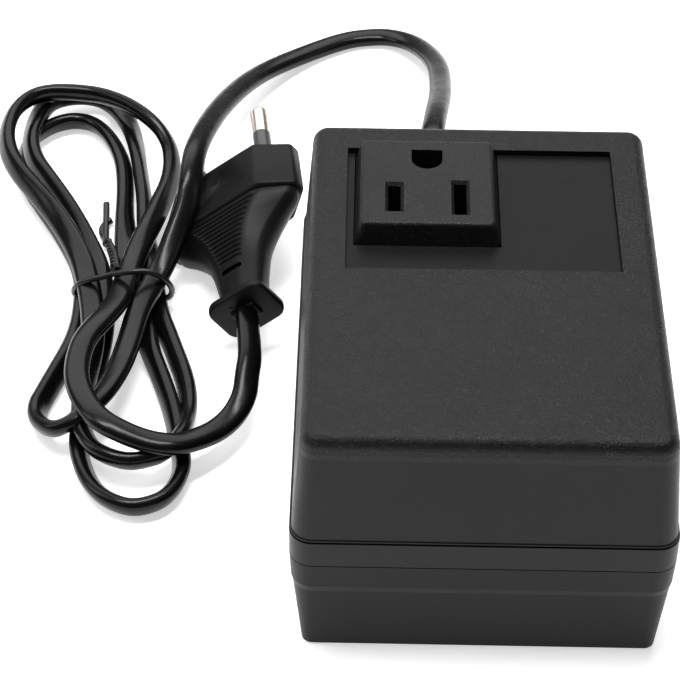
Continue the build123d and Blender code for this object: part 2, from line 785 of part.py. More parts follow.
wire_gap_y = (core_back + outlet_y - outlet_body_length / 2) / 2
core_wire_offset = wire_radius + slack / 2
wire_out_left = outlet_wire(-lug_pitch, left_slot_x)
wire_out_right = outlet_wire(-core_wire_offset, right_slot_x)
neutral_route = [
    (lead_x, cord_inner_end, seam_height + core_wire_offset),
    (lead_x, cord_inner_end - 5 * wire_diameter, seam_height + core_wire_offset),
    (wire_diameter, core_back + 5 * wire_diameter, core_middle - 3 * wire_diameter),
    (3 * wire_diameter, wire_gap_y, core_middle + 2 * wire_diameter),
    (3 * wire_diameter, wire_gap_y + lamination_gap, core_top - wire_radius),
    (core_wire_offset, wire_gap_y - 1.5 * wire_diameter, lug_wire_height - wire_radius / 2),
    (core_wire_offset, lug_tip - wire_diameter, lug_wire_height),
]
wire_in_neutral = tube(neutral_route, wire_diameter)[0]
fuse_end = (fuse_length + fuse_lead_length) / 2
line_route = [
    (lead_x, cord_inner_end, seam_height - core_wire_offset),
    (lead_x, cord_inner_end - 5 * wire_diameter, seam_height - core_wire_offset),
    (fuse_x / 2, core_back + 4 * wire_diameter, core_middle - 6 * wire_diameter),
    (fuse_x + fuse_end + wire_diameter, wire_gap_y, core_middle),
    (fuse_x + fuse_end + 1.5 * wire_diameter, wire_gap_y, core_top + wire_radius),
    (fuse_x + fuse_end + 1.5 * wire_diameter, fuse_y, fuse_height),
    (fuse_x + fuse_end, fuse_y, fuse_height),
]
wire_in_line = tube(line_route, wire_diameter)[0]
link_height = lug_height + lug_thickness / 2 + link_diameter / 2 + lamination_gap
link_x = fuse_x - fuse_end - 2 * link_diameter
link_route = [
    (fuse_x - fuse_end, fuse_y, fuse_height),
    (link_x, fuse_y, fuse_height + link_diameter / 4),
    (link_x, fuse_y - link_diameter, link_height - link_diameter),
    (link_x + 2 * link_diameter, lug_tip - link_diameter, link_height),
    (lug_pitch, lug_tip - 1.5 * link_diameter, link_height),
]
wire_fuse = tube(link_route, link_diameter)[0]


# Hank
def hank_point(across, along, height):
    """Return a point of the hank from its place across and along the waist's axes."""
    lean = math.radians(upper_lean if along >= 0 else lower_lean)
    x = hank_x + across * math.cos(lean) - along * math.sin(lean)
    y = hank_y + across * math.sin(lean) + along * math.cos(lean)
    return (x, y, height)


def lobe_height(layer):
    """Return the height of a strand's middle in a layer of the loops."""
    return cord_radius + lobe_lift + layer * layer_step


def waist_height(layer):
    """Return the height of a strand's middle in a layer under the tie."""
    return lobe_height(layer) + waist_lift


def loop(first, last, layer, half_widths, reaches, shift, side):
    """Return the corners of one loop, clockwise from its first column to its last."""
    reach = (reaches[first] + reaches[last]) / 2
    first_width = half_widths[first]
    last_width = half_widths[last]
    height = lobe_height(layer)
    return [
        hank_point(shift - side * first_width, side * (reach - shoulder_share * first_width), height),
        hank_point(shift - side * crown_share * first_width, side * reach, height),
        hank_point(shift + side * crown_share * last_width, side * reach, height),
        hank_point(shift + side * last_width, side * (reach - shoulder_share * last_width), height),
    ]


def upper(first, last, layer):
    """Return the corners of an upper loop."""
    return loop(first, last, layer, upper_half_widths, upper_reaches, upper_shift, 1)


def lower(first, last, layer):
    """Return the corners of a lower loop."""
    return loop(first, last, layer, lower_half_widths, lower_reaches, lower_shift, -1)


inner = 0
outer = 1
last_loop = upper(outer, outer, 1)
last_shoulder = Vector(*last_loop[-1]) + Vector(0, 0, shoulder_climb)
hank_route = [
    hank_point(waist_outer + entry_shift, entry_run, waist_height(2) + entry_rise),
    hank_point(waist_outer, 0, waist_height(2)),
    *lower(outer, outer, 0),
    hank_point(-waist_outer, 0, waist_height(0)),
    *upper(outer, inner, 0),
    hank_point(waist_inner, 0, waist_height(0)),
    *lower(inner, inner, 0),
    hank_point(-waist_inner, 0, waist_height(0.5)),
    *upper(inner, inner, 1),
    hank_point(waist_inner, 0, waist_height(1)),
    *lower(inner, outer, 1),
    hank_point(-waist_outer, 0, waist_height(1)),
    *last_loop[:-1],
    tuple(last_shoulder),
    hank_point(climb_across, climb_along, waist_height(2)),
    hank_point(exit_waist, 0, waist_height(2)),
    hank_point(exit_waist - exit_shift, -exit_run, waist_height(2)),
]
cord_hank, hank_wire = tube(hank_route, cord_diameter)
report_route("hank", cord_hank, hank_wire, hank_route)


def least_gap(wire, diameter, step):
    """Return the least gap between strands of one tube, measured on points along it."""
    count = int(wire.length / step)
    spots = [wire.position_at(index / count) for index in range(count + 1)]
    apart = int(3 * diameter / step)
    gaps = [
        (spots[i] - spots[j]).length - diameter
        for i in range(len(spots))
        for j in range(i + apart, len(spots))
    ]
    return min(gaps)


print(f"hank: least gap to itself {least_gap(hank_wire, cord_diameter, gap_step):.2f}")

# Twist tie around the waist, with its twisted ends lying towards the upper loops
tie_lean = math.radians((upper_lean + lower_lean) / 2)
tie_right = Vector(math.cos(tie_lean), math.sin(tie_lean), 0)
tie_up = Vector(-math.sin(tie_lean), math.cos(tie_lean), 0)
tie_left = waist_outer + waist_bow_left + cord_radius + tie_gap
tie_right_reach = waist_outer + waist_bow_right + cord_radius + tie_gap
tie_low = waist_height(0) - waist_sag - cord_radius - tie_gap
tie_high = waist_height(2) + cord_radius + tie_gap
tie_width = tie_left + tie_right_reach
tie_shift = (tie_right_reach - tie_left) / 2
tie_middle = Vector(hank_x, hank_y, (tie_low + tie_high) / 2) + tie_right * tie_shift
twist_start = tie_middle + tie_right * twist_across + Vector(0, 0, (tie_high - tie_low) / 2 + tie_radius)
twist_end = twist_start + tie_up * tie_twist_length + Vector(0, 0, twist_rise)
stub_end = twist_end + tie_up * tie_end_length + Vector(0, 0, twist_rise)
with BuildPart() as twist_tie:
    with BuildSketch(Plane(tie_middle, x_dir=tie_right, z_dir=-tie_up)):
        RectangleRounded(
            tie_width + 4 * tie_radius, tie_high - tie_low + 4 * tie_radius, tie_corner + 2 * tie_radius
        )
        RectangleRounded(tie_width, tie_high - tie_low, tie_corner, mode=Mode.SUBTRACT)
    extrude(amount=tie_radius, both=True)
    with BuildSketch(Plane(twist_start, z_dir=twist_end - twist_start)):
        Circle(tie_twist_radius)
    extrude(amount=(twist_end - twist_start).length)
    with BuildSketch(Plane(twist_end, z_dir=stub_end - twist_end)):
        Circle(tie_radius)
    extrude(amount=(stub_end - twist_end).length)

# Plug frame: the axis runs out along the pins, the width lies across them
yaw = math.radians(plug_yaw)
pitch = math.radians(plug_pitch)
roll = math.radians(plug_roll)
plug_axis = Vector(
    math.sin(yaw) * math.cos(pitch), math.cos(yaw) * math.cos(pitch), math.sin(pitch)
)
plug_level = Vector(math.cos(yaw), -math.sin(yaw), 0)
plug_across = plug_level * math.cos(roll) + plug_level.cross(plug_axis) * math.sin(roll)
plug_face = Plane((plug_x, plug_y, plug_z), x_dir=plug_across, z_dir=plug_axis)
guard_back = guard_distance + guard_thickness / 2
cord_entry = plug_face.offset(-guard_back).origin


def grip_size(head_size, neck_size, share):
    """Return the grip's size at a share of its length, eased from the head to the neck."""
    return neck_size + (head_size - neck_size) * (1 + math.cos(math.pi * share)) / 2


def plug_section(distance, width, thickness, flat):
    """Return the plug's eight-sided section at a distance behind its face."""
    with BuildSketch(plug_face.offset(-distance)) as shape:
        Polygon(
            (-width / 2, -head_end / 2),
            (-flat / 2, -thickness / 2),
            (flat / 2, -thickness / 2),
            (width / 2, -head_end / 2),
            (width / 2, head_end / 2),
            (flat / 2, thickness / 2),
            (-flat / 2, thickness / 2),
            (-width / 2, head_end / 2),
        )
    return shape.sketch


with BuildPart() as plug_body:
    add(plug_section(head_length, head_width, head_thickness, head_flat))
    extrude(amount=head_length, dir=plug_axis)
    fillet(plug_body.edges().filter_by(Axis(cord_entry, plug_axis)), head_edge_radius)
    for step in range(grip_steps + 1):
        share = step / grip_steps
        add(
            plug_section(
                head_length + share * (neck_start - head_length),
                grip_size(grip_width, neck_width, share),
                grip_size(grip_thickness, neck_thickness, share),
                grip_size(grip_flat, neck_flat, share),
            )
        )
    loft(ruled=True)
    with BuildSketch(plug_face.offset(-guard_distance)):
        RectangleRounded(neck_width, neck_thickness, grip_corner)
    extrude(amount=guard_distance - neck_start)
    with BuildSketch(plug_face.offset(-guard_back)):
        RectangleRounded(guard_width, guard_height, guard_corner)
    extrude(amount=guard_thickness)
    with BuildSketch(plug_face.offset(-bridge_start - bridge_depth - fit_gap)):
        Rectangle(bridge_width + 2 * fit_gap, bridge_thickness + 2 * fit_gap)
    extrude(amount=bridge_depth + 2 * fit_gap, mode=Mode.SUBTRACT)
    with BuildSketch(plug_face.offset(-pin_seat)):
        with GridLocations(pin_pitch, 0, 2, 1):
            Circle(pin_core_diameter / 2 + sleeve_gap)
    extrude(amount=pin_seat + overrun, mode=Mode.SUBTRACT)

with BuildPart() as plug_bridge:
    with BuildSketch(plug_face.offset(-bridge_start - bridge_depth)):
        Rectangle(bridge_width, bridge_thickness)
        with GridLocations(pin_pitch, 0, 2, 1):
            Circle(pin_core_diameter / 2 + sleeve_gap, mode=Mode.SUBTRACT)
    extrude(amount=bridge_depth)

with BuildPart() as plug_pins:
    with BuildSketch(plug_face.offset(-pin_seat)):
        with GridLocations(pin_pitch, 0, 2, 1):
            Circle(pin_core_diameter / 2)
    extrude(amount=pin_seat + sleeve_length)
    with BuildSketch(plug_face.offset(sleeve_length)):
        with GridLocations(pin_pitch, 0, 2, 1):
            Circle(pin_diameter / 2)
    extrude(amount=pin_length - sleeve_length)
    fillet(plug_pins.edges().filter_by(GeomType.CIRCLE).sort_by(Axis(cord_entry, plug_axis))[-2:], pin_nose)

with BuildPart() as plug_sleeves:
    with BuildSketch(plug_face):
        with GridLocations(pin_pitch, 0, 2, 1):
            Circle(pin_diameter / 2)
            Circle(pin_core_diameter / 2 + sleeve_gap, mode=Mode.SUBTRACT)
    extrude(amount=sleeve_length)

# Lead: from the bush, down to the table, around and over the plug's edge into the hank
hank_in = Vector(*hank_route[0])
hank_in_run = (Vector(*hank_route[1]) - hank_in).normalized()
lead_route = [
    (lead_x, bush_end, seam_height),
    (lead_x, 81.5, seam_height),
    (-7.2, 92.5, 18.9),
    (-6.4, 103.0, 12.4),
    (-5.7, 113.0, 6.9),
    (-5.1, 124.0, 3.0),
    (-5.3, 134.5, 2.5),
    (-10.6, 145.4, 2.5),
    (-20.5, 151.9, 2.5),
    (-31.6, 149.8, 2.6),
    (-41.6, 140.8, 2.7),
    (-50.5, 130.0, 3.6),
    (-57.5, 119.0, 7.0),
    (-60.5, 106.5, 11.0),
    (-61.3, 94.5, 15.5),
    (-60.9, 83.0, 18.7),
    tuple(hank_in - hank_in_run * end_run),
    tuple(hank_in),
]
cord_lead, lead_wire = tube(lead_route, cord_diameter)
report_route("lead", cord_lead, lead_wire, lead_route)

# Tail: over the lower loops and around to the plug
hank_out = Vector(*hank_route[-1])
hank_out_run = (hank_out - Vector(*hank_route[-2])).normalized()
tail_route = [
    tuple(hank_out),
    tuple(hank_out + hank_out_run * tail_start_run),
    (-82.3, 20.5, 13.2),
    (-82.0, 10.5, 12.8),
    (-77.6, 2.2, 12.6),
    (-70.0, -3.2, 12.6),
    (-61.0, -5.8, 12.6),
    (-52.3, -3.3, 11.4),
    (-46.6, 3.2, 9.8),
    (-45.2, 12.5, 9.3),
    tuple(cord_entry - plug_axis * end_run),
    tuple(cord_entry),
]
cord_tail, tail_wire = tube(tail_route, cord_diameter)
report_route("tail", cord_tail, tail_wire, tail_route)
total = lead_wire.length + hank_wire.length + tail_wire.length
print(f"cord length outside the case {total:.0f}")

write(base_shell.part, "base_shell")
write(top_cover.part, "top_cover")
write(nameplate.part, "nameplate")
write(outlet_housing.part, "outlet_housing")
write(outlet_retainer.part, "outlet_retainer")
write(contact_left, "contact_left")
write(contact_right, "contact_right")
write(contact_earth, "contact_earth")
write(outlet_screws, "outlet_screws")
write(case_screws, "case_screws")
write(core_e.part, "core_e")
write(core_i.part, "core_i")
write(core_screws, "core_screws")
write(bobbin.part, "bobbin")
write(winding_inner, "winding_inner")
write(winding_outer, "winding_outer")
write(coil_tape, "coil_tape")
write(solder_lugs.part, "solder_lugs")
write(thermal_fuse.part, "thermal_fuse")
write(wire_in_line, "wire_in_line")
write(wire_in_neutral, "wire_in_neutral")
write(wire_fuse, "wire_fuse")
write(wire_out_left, "wire_out_left")
write(wire_out_right, "wire_out_right")
write(cord_bush.part, "cord_bush")
write(cord_inner.part, "cord_inner")
write(cord_clamp.part, "cord_clamp")
write(clamp_screws, "clamp_screws")
write(cord_lead, "cord_lead")
write(cord_hank, "cord_hank")
write(cord_tail, "cord_tail")
write(twist_tie.part, "twist_tie")
write(plug_body.part, "plug_body")
write(plug_bridge.part, "plug_bridge")
write(plug_pins.part, "plug_pins")
write(plug_sleeves.part, "plug_sleeves")
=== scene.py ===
"""Looks of the travel voltage converter.

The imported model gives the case, the outlet and the inside of the transformer box as they are.
This script lays the mains cord in its loose hank, models the flat two-pin plug and the wire tie,
and gives every piece its finish, under plain soft studio light.
All sizes are in metres.
"""

from __future__ import annotations

import logging
import math
from dataclasses import astuple, dataclass
from enum import Enum
from typing import Optional, Sequence, Union

import bpy
from mathutils import Matrix, Vector


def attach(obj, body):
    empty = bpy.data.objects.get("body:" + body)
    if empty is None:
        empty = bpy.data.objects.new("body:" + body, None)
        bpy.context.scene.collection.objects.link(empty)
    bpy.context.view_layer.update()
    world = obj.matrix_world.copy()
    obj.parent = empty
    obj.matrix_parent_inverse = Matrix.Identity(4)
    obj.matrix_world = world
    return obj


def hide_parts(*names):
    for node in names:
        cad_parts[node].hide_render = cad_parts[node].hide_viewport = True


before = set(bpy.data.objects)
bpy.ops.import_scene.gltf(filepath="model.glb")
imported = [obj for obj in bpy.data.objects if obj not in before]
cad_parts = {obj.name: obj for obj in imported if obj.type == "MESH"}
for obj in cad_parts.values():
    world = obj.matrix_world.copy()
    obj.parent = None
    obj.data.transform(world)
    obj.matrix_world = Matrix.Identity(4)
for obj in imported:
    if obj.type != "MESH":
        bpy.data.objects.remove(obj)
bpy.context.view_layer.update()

LOG: logging.Logger = logging.getLogger("converter")
MM: float = 0.001
WELD: float = 1e-6
Point = tuple[float, float, float]
Station = tuple[float, float, float, float]
Colour = tuple[float, float, float, float]
Number = Union[float, "Value"]
Sockets = dict[Union[str, int], object]


def grey(level: float) -> Colour:
    """Return a neutral colour of a brightness."""
    return (level, level, level, 1.0)


def stand(x: Vector, y: Vector, z: Vector, origin: Point) -> Matrix:
    """Return a place from where the axes of what stands there point.

    Args:
        x: Where its x axis points.
        y: Where its y axis points.
        z: Where its z axis points.
        origin: Where its origin lies.

    Returns:
        The place.
    """
    return Matrix.Translation(origin) @ Matrix((x, y, z)).transposed().to_4x4()


# ---- shader maths


class Value:
    """One output of a shader node, usable in plain arithmetic."""

    def __init__(self, shop: "NodeShop", socket: Optional[bpy.types.NodeSocket]) -> None:
        """Keep the socket and the shop whose material it belongs to."""
        self.shop = shop
        self.socket = socket

    def __add__(self, other: Number) -> "Value":
        """Return this value plus another."""
        return self.shop.maths("ADD", self, other)

    def __radd__(self, other: float) -> "Value":
        """Return a number plus this value."""
        return self.shop.maths("ADD", other, self)

    def __sub__(self, other: Number) -> "Value":
        """Return this value less another."""
        return self.shop.maths("SUBTRACT", self, other)

    def __rsub__(self, other: float) -> "Value":
        """Return a number less this value."""
        return self.shop.maths("SUBTRACT", other, self)

    def __mul__(self, other: Number) -> "Value":
        """Return this value times another."""
        return self.shop.maths("MULTIPLY", self, other)

    def __rmul__(self, other: float) -> "Value":
        """Return a number times this value."""
        return self.shop.maths("MULTIPLY", other, self)


class NodeShop:
    """Builds one material's nodes."""

    def __init__(self, name: str) -> None:
        """Start a material with an empty node tree.

        Args:
            name: The material's name.
        """
        self.material = bpy.data.materials.new(name)
        self.material.use_nodes = True
        self.tree = self.material.node_tree
        self.tree.nodes.clear()

    def node(
        self,
        kind: str,
        settings: Optional[dict[str, object]] = None,
        sockets: Optional[Sockets] = None,
        output: Union[str, int] = 0,
    ) -> Value:
        """Add a node, set it up and feed its sockets.

        Args:
            kind: The node's type.
            settings: Its own settings, set before the sockets.
            sockets: The value or the link of each input, by name or number.
            output: Which output is handed back.

        Returns:
            The chosen output.
        """
        made = self.tree.nodes.new(kind)
        for name, setting in (settings or {}).items():
            setattr(made, name, setting)
        for name, given in (sockets or {}).items():
            if isinstance(given, Value):
                self.tree.links.new(given.socket, made.inputs[name])
            else:
                made.inputs[name].default_value = given
        return Value(self, made.outputs[output] if made.outputs else None)

    def maths(self, operation: str, first: Number, second: Number) -> Value:
        """Return the outcome of one Math node."""
        return self.node("ShaderNodeMath", {"operation": operation}, {0: first, 1: second})

    def place(self, stretch: Point = (1.0, 1.0, 1.0), turn: Point = (0.0, 0.0, 0.0)) -> Value:
        """Return the place on the object, turned and stretched for a pattern.

        Args:
            stretch: How much each direction is scaled.
            turn: The turn about each direction, in radians.

        Returns:
            The place as a vector.
        """
        here = self.node("ShaderNodeTexCoord", output="Object")
        scale = tuple(1 / part for part in stretch)
        return self.node(
            "ShaderNodeMapping",
            {"vector_type": "TEXTURE"},
            {"Vector": here, "Rotation": turn, "Scale": scale},
        )

    def height(self) -> Value:
        """Return the height on the object, in metres."""
        return self.node("ShaderNodeSeparateXYZ", None, {0: self.place()}, output="Z")

    def noise(self, place: Value, size: float, detail: float = 2.0, rough: float = 0.5) -> Value:
        """Return a cloudy value from 0 to 1.

        Args:
            place: The place on the object.
            size: The clouds' size in metres.
            detail: How many finer layers lie over them.
            rough: How strong those layers are.

        Returns:
            The value.
        """
        return self.node(
            "ShaderNodeTexNoise",
            {"noise_dimensions": "3D"},
            {"Vector": place, "Scale": 1 / size, "Detail": detail, "Roughness": rough},
        )

    def cells(self, place: Value, size: float) -> Value:
        """Return the distance to the nearest of many scattered points, a size apart."""
        sockets = {"Vector": place, "Scale": 1 / size}
        return self.node("ShaderNodeTexVoronoi", {"feature": "F1"}, sockets)

    def bands(self, place: Value, pitch: float, wobble: float) -> Value:
        """Return level stripes from 0 to 1.

        Args:
            place: The place on the object.
            pitch: The height from stripe to stripe, in metres.
            wobble: How far the stripes waver.

        Returns:
            The value.
        """
        return self.node(
            "ShaderNodeTexWave",
            {"wave_type": "BANDS", "bands_direction": "Z", "wave_profile": "SIN"},
            {"Vector": place, "Scale": math.pi / 10 / pitch, "Distortion": wobble, "Detail": 1.0},
            output="Fac",
        )

    def spread(self, factor: Value, low: float, high: float) -> Value:
        """Return a value stretched so that low becomes 0 and high becomes 1."""
        sockets = {"Value": factor, "From Min": low, "From Max": high}
        return self.node("ShaderNodeMapRange", {"clamp": True}, sockets)

    def tint(
        self, factor: Number, low: Union[Colour, Value], high: Union[Colour, Value]
    ) -> Value:
        """Return a colour between two others."""
        sockets = {0: factor, 6: low, 7: high}
        return self.node("ShaderNodeMix", {"data_type": "RGBA"}, sockets, output=2)

    def bump(self, height: Value, depth: float) -> Value:
        """Return the normal of a surface that is raised by a height of up to a depth."""
        sockets = {"Height": height, "Distance": depth, "Strength": 1.0}
        return self.node("ShaderNodeBump", None, sockets)

    def finish(self, sockets: Sockets) -> bpy.types.Material:
        """Close the material with its surface shader.

        Args:
            sockets: The surface's values and links.

        Returns:
            The finished material.
        """
        surface = self.node("ShaderNodeBsdfPrincipled", None, sockets)
        self.node("ShaderNodeOutputMaterial", None, {"Surface": surface})
        return self.material


# ---- finishes


@dataclass(frozen=True)
class Finish:
    """What every finish has: a name and a base colour."""

    name: str
    colour: Colour

    def shade(self, share: float) -> Colour:
        """Return the base colour made darker or lighter by a share."""
        return tuple(share * part for part in self.colour[:3]) + (1.0,)

    def material(self) -> bpy.types.Material:
        """Return the material, made once and shared by all pieces with this finish."""
        known = bpy.data.materials.get(self.name)
        return known if known else self.make(NodeShop(self.name))

    def make(self, shop: NodeShop) -> bpy.types.Material:
        """Return the material built in a shop."""
        raise NotImplementedError


@dataclass(frozen=True)
class SparkedPlastic(Finish):
    """Moulded plastic from a spark-eroded mould: a fine even grain of small pits.

    The grain is strong above a height, and almost smooth below it. Above that height, light specks
    are painted into the colour as glints of the grain's sparkle.
    """

    roughness: float = 0.5
    gloss: float = 0.4
    grain: float = 0.0003
    depth: float = 0.00006
    from_height: float = 0.0
    fade: float = 0.0006
    drift_size: float = 0.012
    # colour of the painted glints: light specks standing in for the sparkle of light on the grain
    glint_colour: Colour = grey(0.11)

    def make(self, shop: NodeShop) -> bpy.types.Material:
        """Return the grained material.

        Args:
            shop: The shop that builds it.

        Returns:
            The material.
        """
        here = shop.place()
        low, high = self.from_height - self.fade, self.from_height + self.fade
        top = shop.spread(shop.height(), low, high)
        pits = shop.cells(here, self.grain)
        fine = shop.noise(here, 0.8 * self.grain, rough=0.7)
        drift = shop.noise(here, self.drift_size, detail=3.0)
        patches = shop.noise(here, 5 * self.grain)
        # painted glints: light specks scattered over the grained top, standing in for light
        # catching the pits
        painted_glints = shop.spread(shop.cells(here, 2.6 * self.grain), 0.2, 0.08) * top
        mottle = 0.5 + (fine - 0.5) * (top * 1.6 + 0.2) + (patches - 0.5) * 0.5
        ground = shop.tint(mottle, self.shade(0.6), self.shade(1.6))
        relief = (pits * 0.5 + fine + patches * 0.8) * (top * 0.94 + 0.06)
        return shop.finish(
            {
                # the painted glints lighten the grain's colour in small specks
                "Base Color": shop.tint(painted_glints * patches, ground, self.glint_colour),
                "Roughness": self.roughness + 0.9 * (fine - 0.5) * top + 0.2 * (drift - 0.5),
                "Specular IOR Level": self.gloss,
                "Normal": shop.bump(relief, self.depth),
            }
        )


@dataclass(frozen=True)
class SatinPlastic(Finish):
    """Smooth moulded plastic with faint flow marks, fine dust and light handling scuffs."""

    roughness: float = 0.38
    gloss: float = 0.5
    waver: float = 0.00001
    scuff: float = 0.08
    flow_size: float = 0.012
    dust_size: float = 0.00035
    streak_size: float = 0.0012
    streak_turn: float = 0.5

    def make(self, shop: NodeShop) -> bpy.types.Material:
        """Return the smooth material.

        Args:
            shop: The shop that builds it.

        Returns:
            The material.
        """
        drawn = shop.place(stretch=(1.0, 1.0, 0.35))
        flow = shop.noise(drawn, self.flow_size, detail=3.0)
        fine = shop.noise(shop.place(), self.dust_size, rough=0.6)
        wiped = shop.place(stretch=(0.12, 1.0, 1.0), turn=(0.0, 0.0, self.streak_turn))
        streaks = shop.noise(wiped, self.streak_size, detail=3.0, rough=0.7)
        wear = shop.spread(streaks, 0.58, 0.75)
        mottle = flow * 0.7 + fine * 0.3
        return shop.finish(
            {
                "Base Color": shop.tint(mottle, self.shade(0.82), self.shade(1.25)),
                "Roughness": self.roughness + self.scuff * wear + 0.05 * (flow - 0.5),
                "Specular IOR Level": self.gloss,
                "Normal": shop.bump(fine * 0.5 + flow, self.waver),
            }
        )


@dataclass(frozen=True)
class CordSheath(Finish):
    """Glossy extruded sheath: a soft sheen, slight unevenness and small scuffs."""

    roughness: float = 0.27
    gloss: float = 0.4
    depth: float = 0.00006
    uneven_size: float = 0.006
    fine_size: float = 0.0005
    scuff_size: float = 0.0022

    def make(self, shop: NodeShop) -> bpy.types.Material:
        """Return the sheath's material.

        Args:
            shop: The shop that builds it.

        Returns:
            The material.
        """
        here = shop.place()
        uneven = shop.noise(here, self.uneven_size)
        fine = shop.noise(here, self.fine_size, detail=3.0, rough=0.6)
        rubbed = shop.noise(here, self.scuff_size, detail=4.0, rough=0.7)
        scuffs = shop.spread(rubbed, 0.6, 0.72)
        return shop.finish(
            {
                "Base Color": shop.tint(uneven, self.colour, self.shade(1.35)),
                "Roughness": self.roughness + 0.12 * scuffs + 0.08 * (uneven - 0.5),
                "Specular IOR Level": self.gloss,
                "Normal": shop.bump(uneven * 1.5 + fine * 0.12, self.depth),
            }
        )


@dataclass(frozen=True)
class Metal(Finish):
    """Drawn or turned metal, with fine lines along one direction and a little tarnish."""

    roughness: float = 0.25
    lines: Point = (1.0, 1.0, 0.05)
    tarnish: float = 0.2
    depth: float = 0.000006
    line_size: float = 0.0003
    cloud_size: float = 0.003

    def make(self, shop: NodeShop) -> bpy.types.Material:
        """Return the metal's material.

        Args:
            shop: The shop that builds it.

        Returns:
            The material.
        """
        drawn = shop.place(stretch=self.lines)
        fine = shop.noise(drawn, self.line_size, detail=3.0, rough=0.6)
        cloud = shop.noise(shop.place(), self.cloud_size, detail=3.0)
        return shop.finish(
            {
                "Base Color": shop.tint(cloud, self.shade(1 - self.tarnish), self.colour),
                "Metallic": 1.0,
                "Roughness": self.roughness + 0.15 * (fine - 0.5) + 0.1 * cloud,
                "Normal": shop.bump(fine, self.depth),
            }
        )


@dataclass(frozen=True)
class StackedSteel(Finish):
    """Punched sheets stacked into a core, with a little rust on their edges."""

    sheet: float = 0.0005
    wobble: float = 0.15
    depth: float = 0.00005
    rust_size: float = 0.005
    rust: Colour = (0.09, 0.045, 0.02, 1.0)

    def make(self, shop: NodeShop) -> bpy.types.Material:
        """Return the stack's material.

        Args:
            shop: The shop that builds it.

        Returns:
            The material.
        """
        edges = shop.bands(shop.place(), self.sheet, self.wobble)
        cloud = shop.noise(shop.place(), self.rust_size, detail=4.0, rough=0.6)
        rusty = shop.spread(cloud, 0.55, 0.8)
        steel = shop.tint(edges, self.shade(0.45), self.colour)
        return shop.finish(
            {
                "Base Color": shop.tint(rusty * 0.5, steel, self.rust),
                "Metallic": 0.85 - 0.4 * rusty,
                "Roughness": 0.36 + 0.2 * rusty + 0.1 * edges,
                "Normal": shop.bump(edges, self.depth),
            }
        )


@dataclass(frozen=True)
class WoundWire(Finish):
    """Enamelled wire laid side by side in a winding."""

    wire: float = 0.0004
    wobble: float = 0.3
    depth: float = 0.00012
    drift_size: float = 0.004

    def make(self, shop: NodeShop) -> bpy.types.Material:
        """Return the winding's material.

        Args:
            shop: The shop that builds it.

        Returns:
            The material.
        """
        turns = shop.bands(shop.place(), self.wire, self.wobble)
        drift = shop.noise(shop.place(), self.drift_size, detail=3.0)
        return shop.finish(
            {
                "Base Color": shop.tint(turns * 0.7 + drift * 0.3, self.shade(0.35), self.colour),
                "Metallic": 0.8,
                "Roughness": 0.28 + 0.12 * drift,
                "Coat Weight": 0.4 + 0.2 * drift,
                "Normal": shop.bump(turns, self.depth),
            }
        )


@dataclass(frozen=True)
class WireJacket(Finish):
    """Soft jacket of a hook-up wire, a little dusty."""

    roughness: float = 0.4
    depth: float = 0.00002
    dust_size: float = 0.0015
    dust: Colour = (0.35, 0.34, 0.32, 1.0)

    def make(self, shop: NodeShop) -> bpy.types.Material:
        """Return the jacket's material.

        Args:
            shop: The shop that builds it.

        Returns:
            The material.
        """
        cloud = shop.noise(shop.place(), self.dust_size, detail=3.0)
        return shop.finish(
            {
                "Base Color": shop.tint(cloud * 0.35, self.colour, self.dust),
                "Roughness": self.roughness + 0.15 * cloud,
                "Normal": shop.bump(cloud, self.depth),
            }
        )


class Look(Enum):
    """The finishes of this converter, one for each kind of surface."""

    COVER = SparkedPlastic(
        "cover grain",
        grey(0.006),
        roughness=0.36,
        gloss=0.2,
        grain=0.00032,
        depth=0.00012,
        from_height=0.0485,
    )
    OUTLET = SparkedPlastic("outlet grain", grey(0.007), roughness=0.38, gloss=0.2, depth=0.00008)
    BASE = SatinPlastic("base satin", grey(0.005), roughness=0.4, gloss=0.17)
    PANEL = SatinPlastic("panel satin", grey(0.005), roughness=0.48, gloss=0.12)
    INNER = SatinPlastic("inner satin", grey(0.03), roughness=0.45)
    CLAMP = SatinPlastic("clamp satin", grey(0.035), roughness=0.45)
    BOBBIN = SatinPlastic("bobbin nylon", (0.62, 0.58, 0.48, 1.0), roughness=0.45)
    TAPE = SatinPlastic("coil tape", (0.62, 0.42, 0.05, 1.0), roughness=0.22)
    BRIDGE = SatinPlastic("bridge plastic", grey(0.03), roughness=0.4)
    SLEEVE = SatinPlastic("pin sleeve", grey(0.05), roughness=0.34)
    SHEATH = CordSheath("cord sheath", grey(0.002), roughness=0.25, gloss=0.22)
    BUSH = CordSheath("bush rubber", grey(0.005), roughness=0.4, gloss=0.25)
    PLUG = CordSheath("plug plastic", grey(0.0045), roughness=0.4, gloss=0.13)
    TIE = CordSheath("tie wire", grey(0.008), roughness=0.3, gloss=0.35)
    PIN = Metal("pin nickel", (0.78, 0.69, 0.6, 1.0), 0.24, (1.0, 0.06, 1.0), 0.12)
    BRASS = Metal("contact brass", (0.72, 0.5, 0.2, 1.0), 0.28, (1.0, 1.0, 0.06), 0.25)
    SCREW = Metal("screw zinc", (0.62, 0.62, 0.6, 1.0), 0.3, (1.0, 1.0, 1.0), 0.2)
    TIN = Metal("lug tin", (0.66, 0.66, 0.64, 1.0), 0.34, (0.1, 1.0, 1.0), 0.2)
    FUSE = Metal("fuse can", (0.58, 0.57, 0.54, 1.0), 0.3, (0.06, 1.0, 1.0), 0.15)
    CORE = StackedSteel("core sheets", grey(0.3))
    INNER_COIL = WoundWire("fine winding", (0.62, 0.22, 0.07, 1.0), wire=0.00035)
    OUTER_COIL = WoundWire("heavy winding", (0.68, 0.27, 0.09, 1.0), wire=0.0007)
    DARK_WIRE = WireJacket("dark wire", (0.02, 0.02, 0.022, 1.0))
    LIGHT_WIRE = WireJacket("light wire", (0.55, 0.54, 0.5, 1.0))


# ---- bench: modelling by hand, one operator at a time


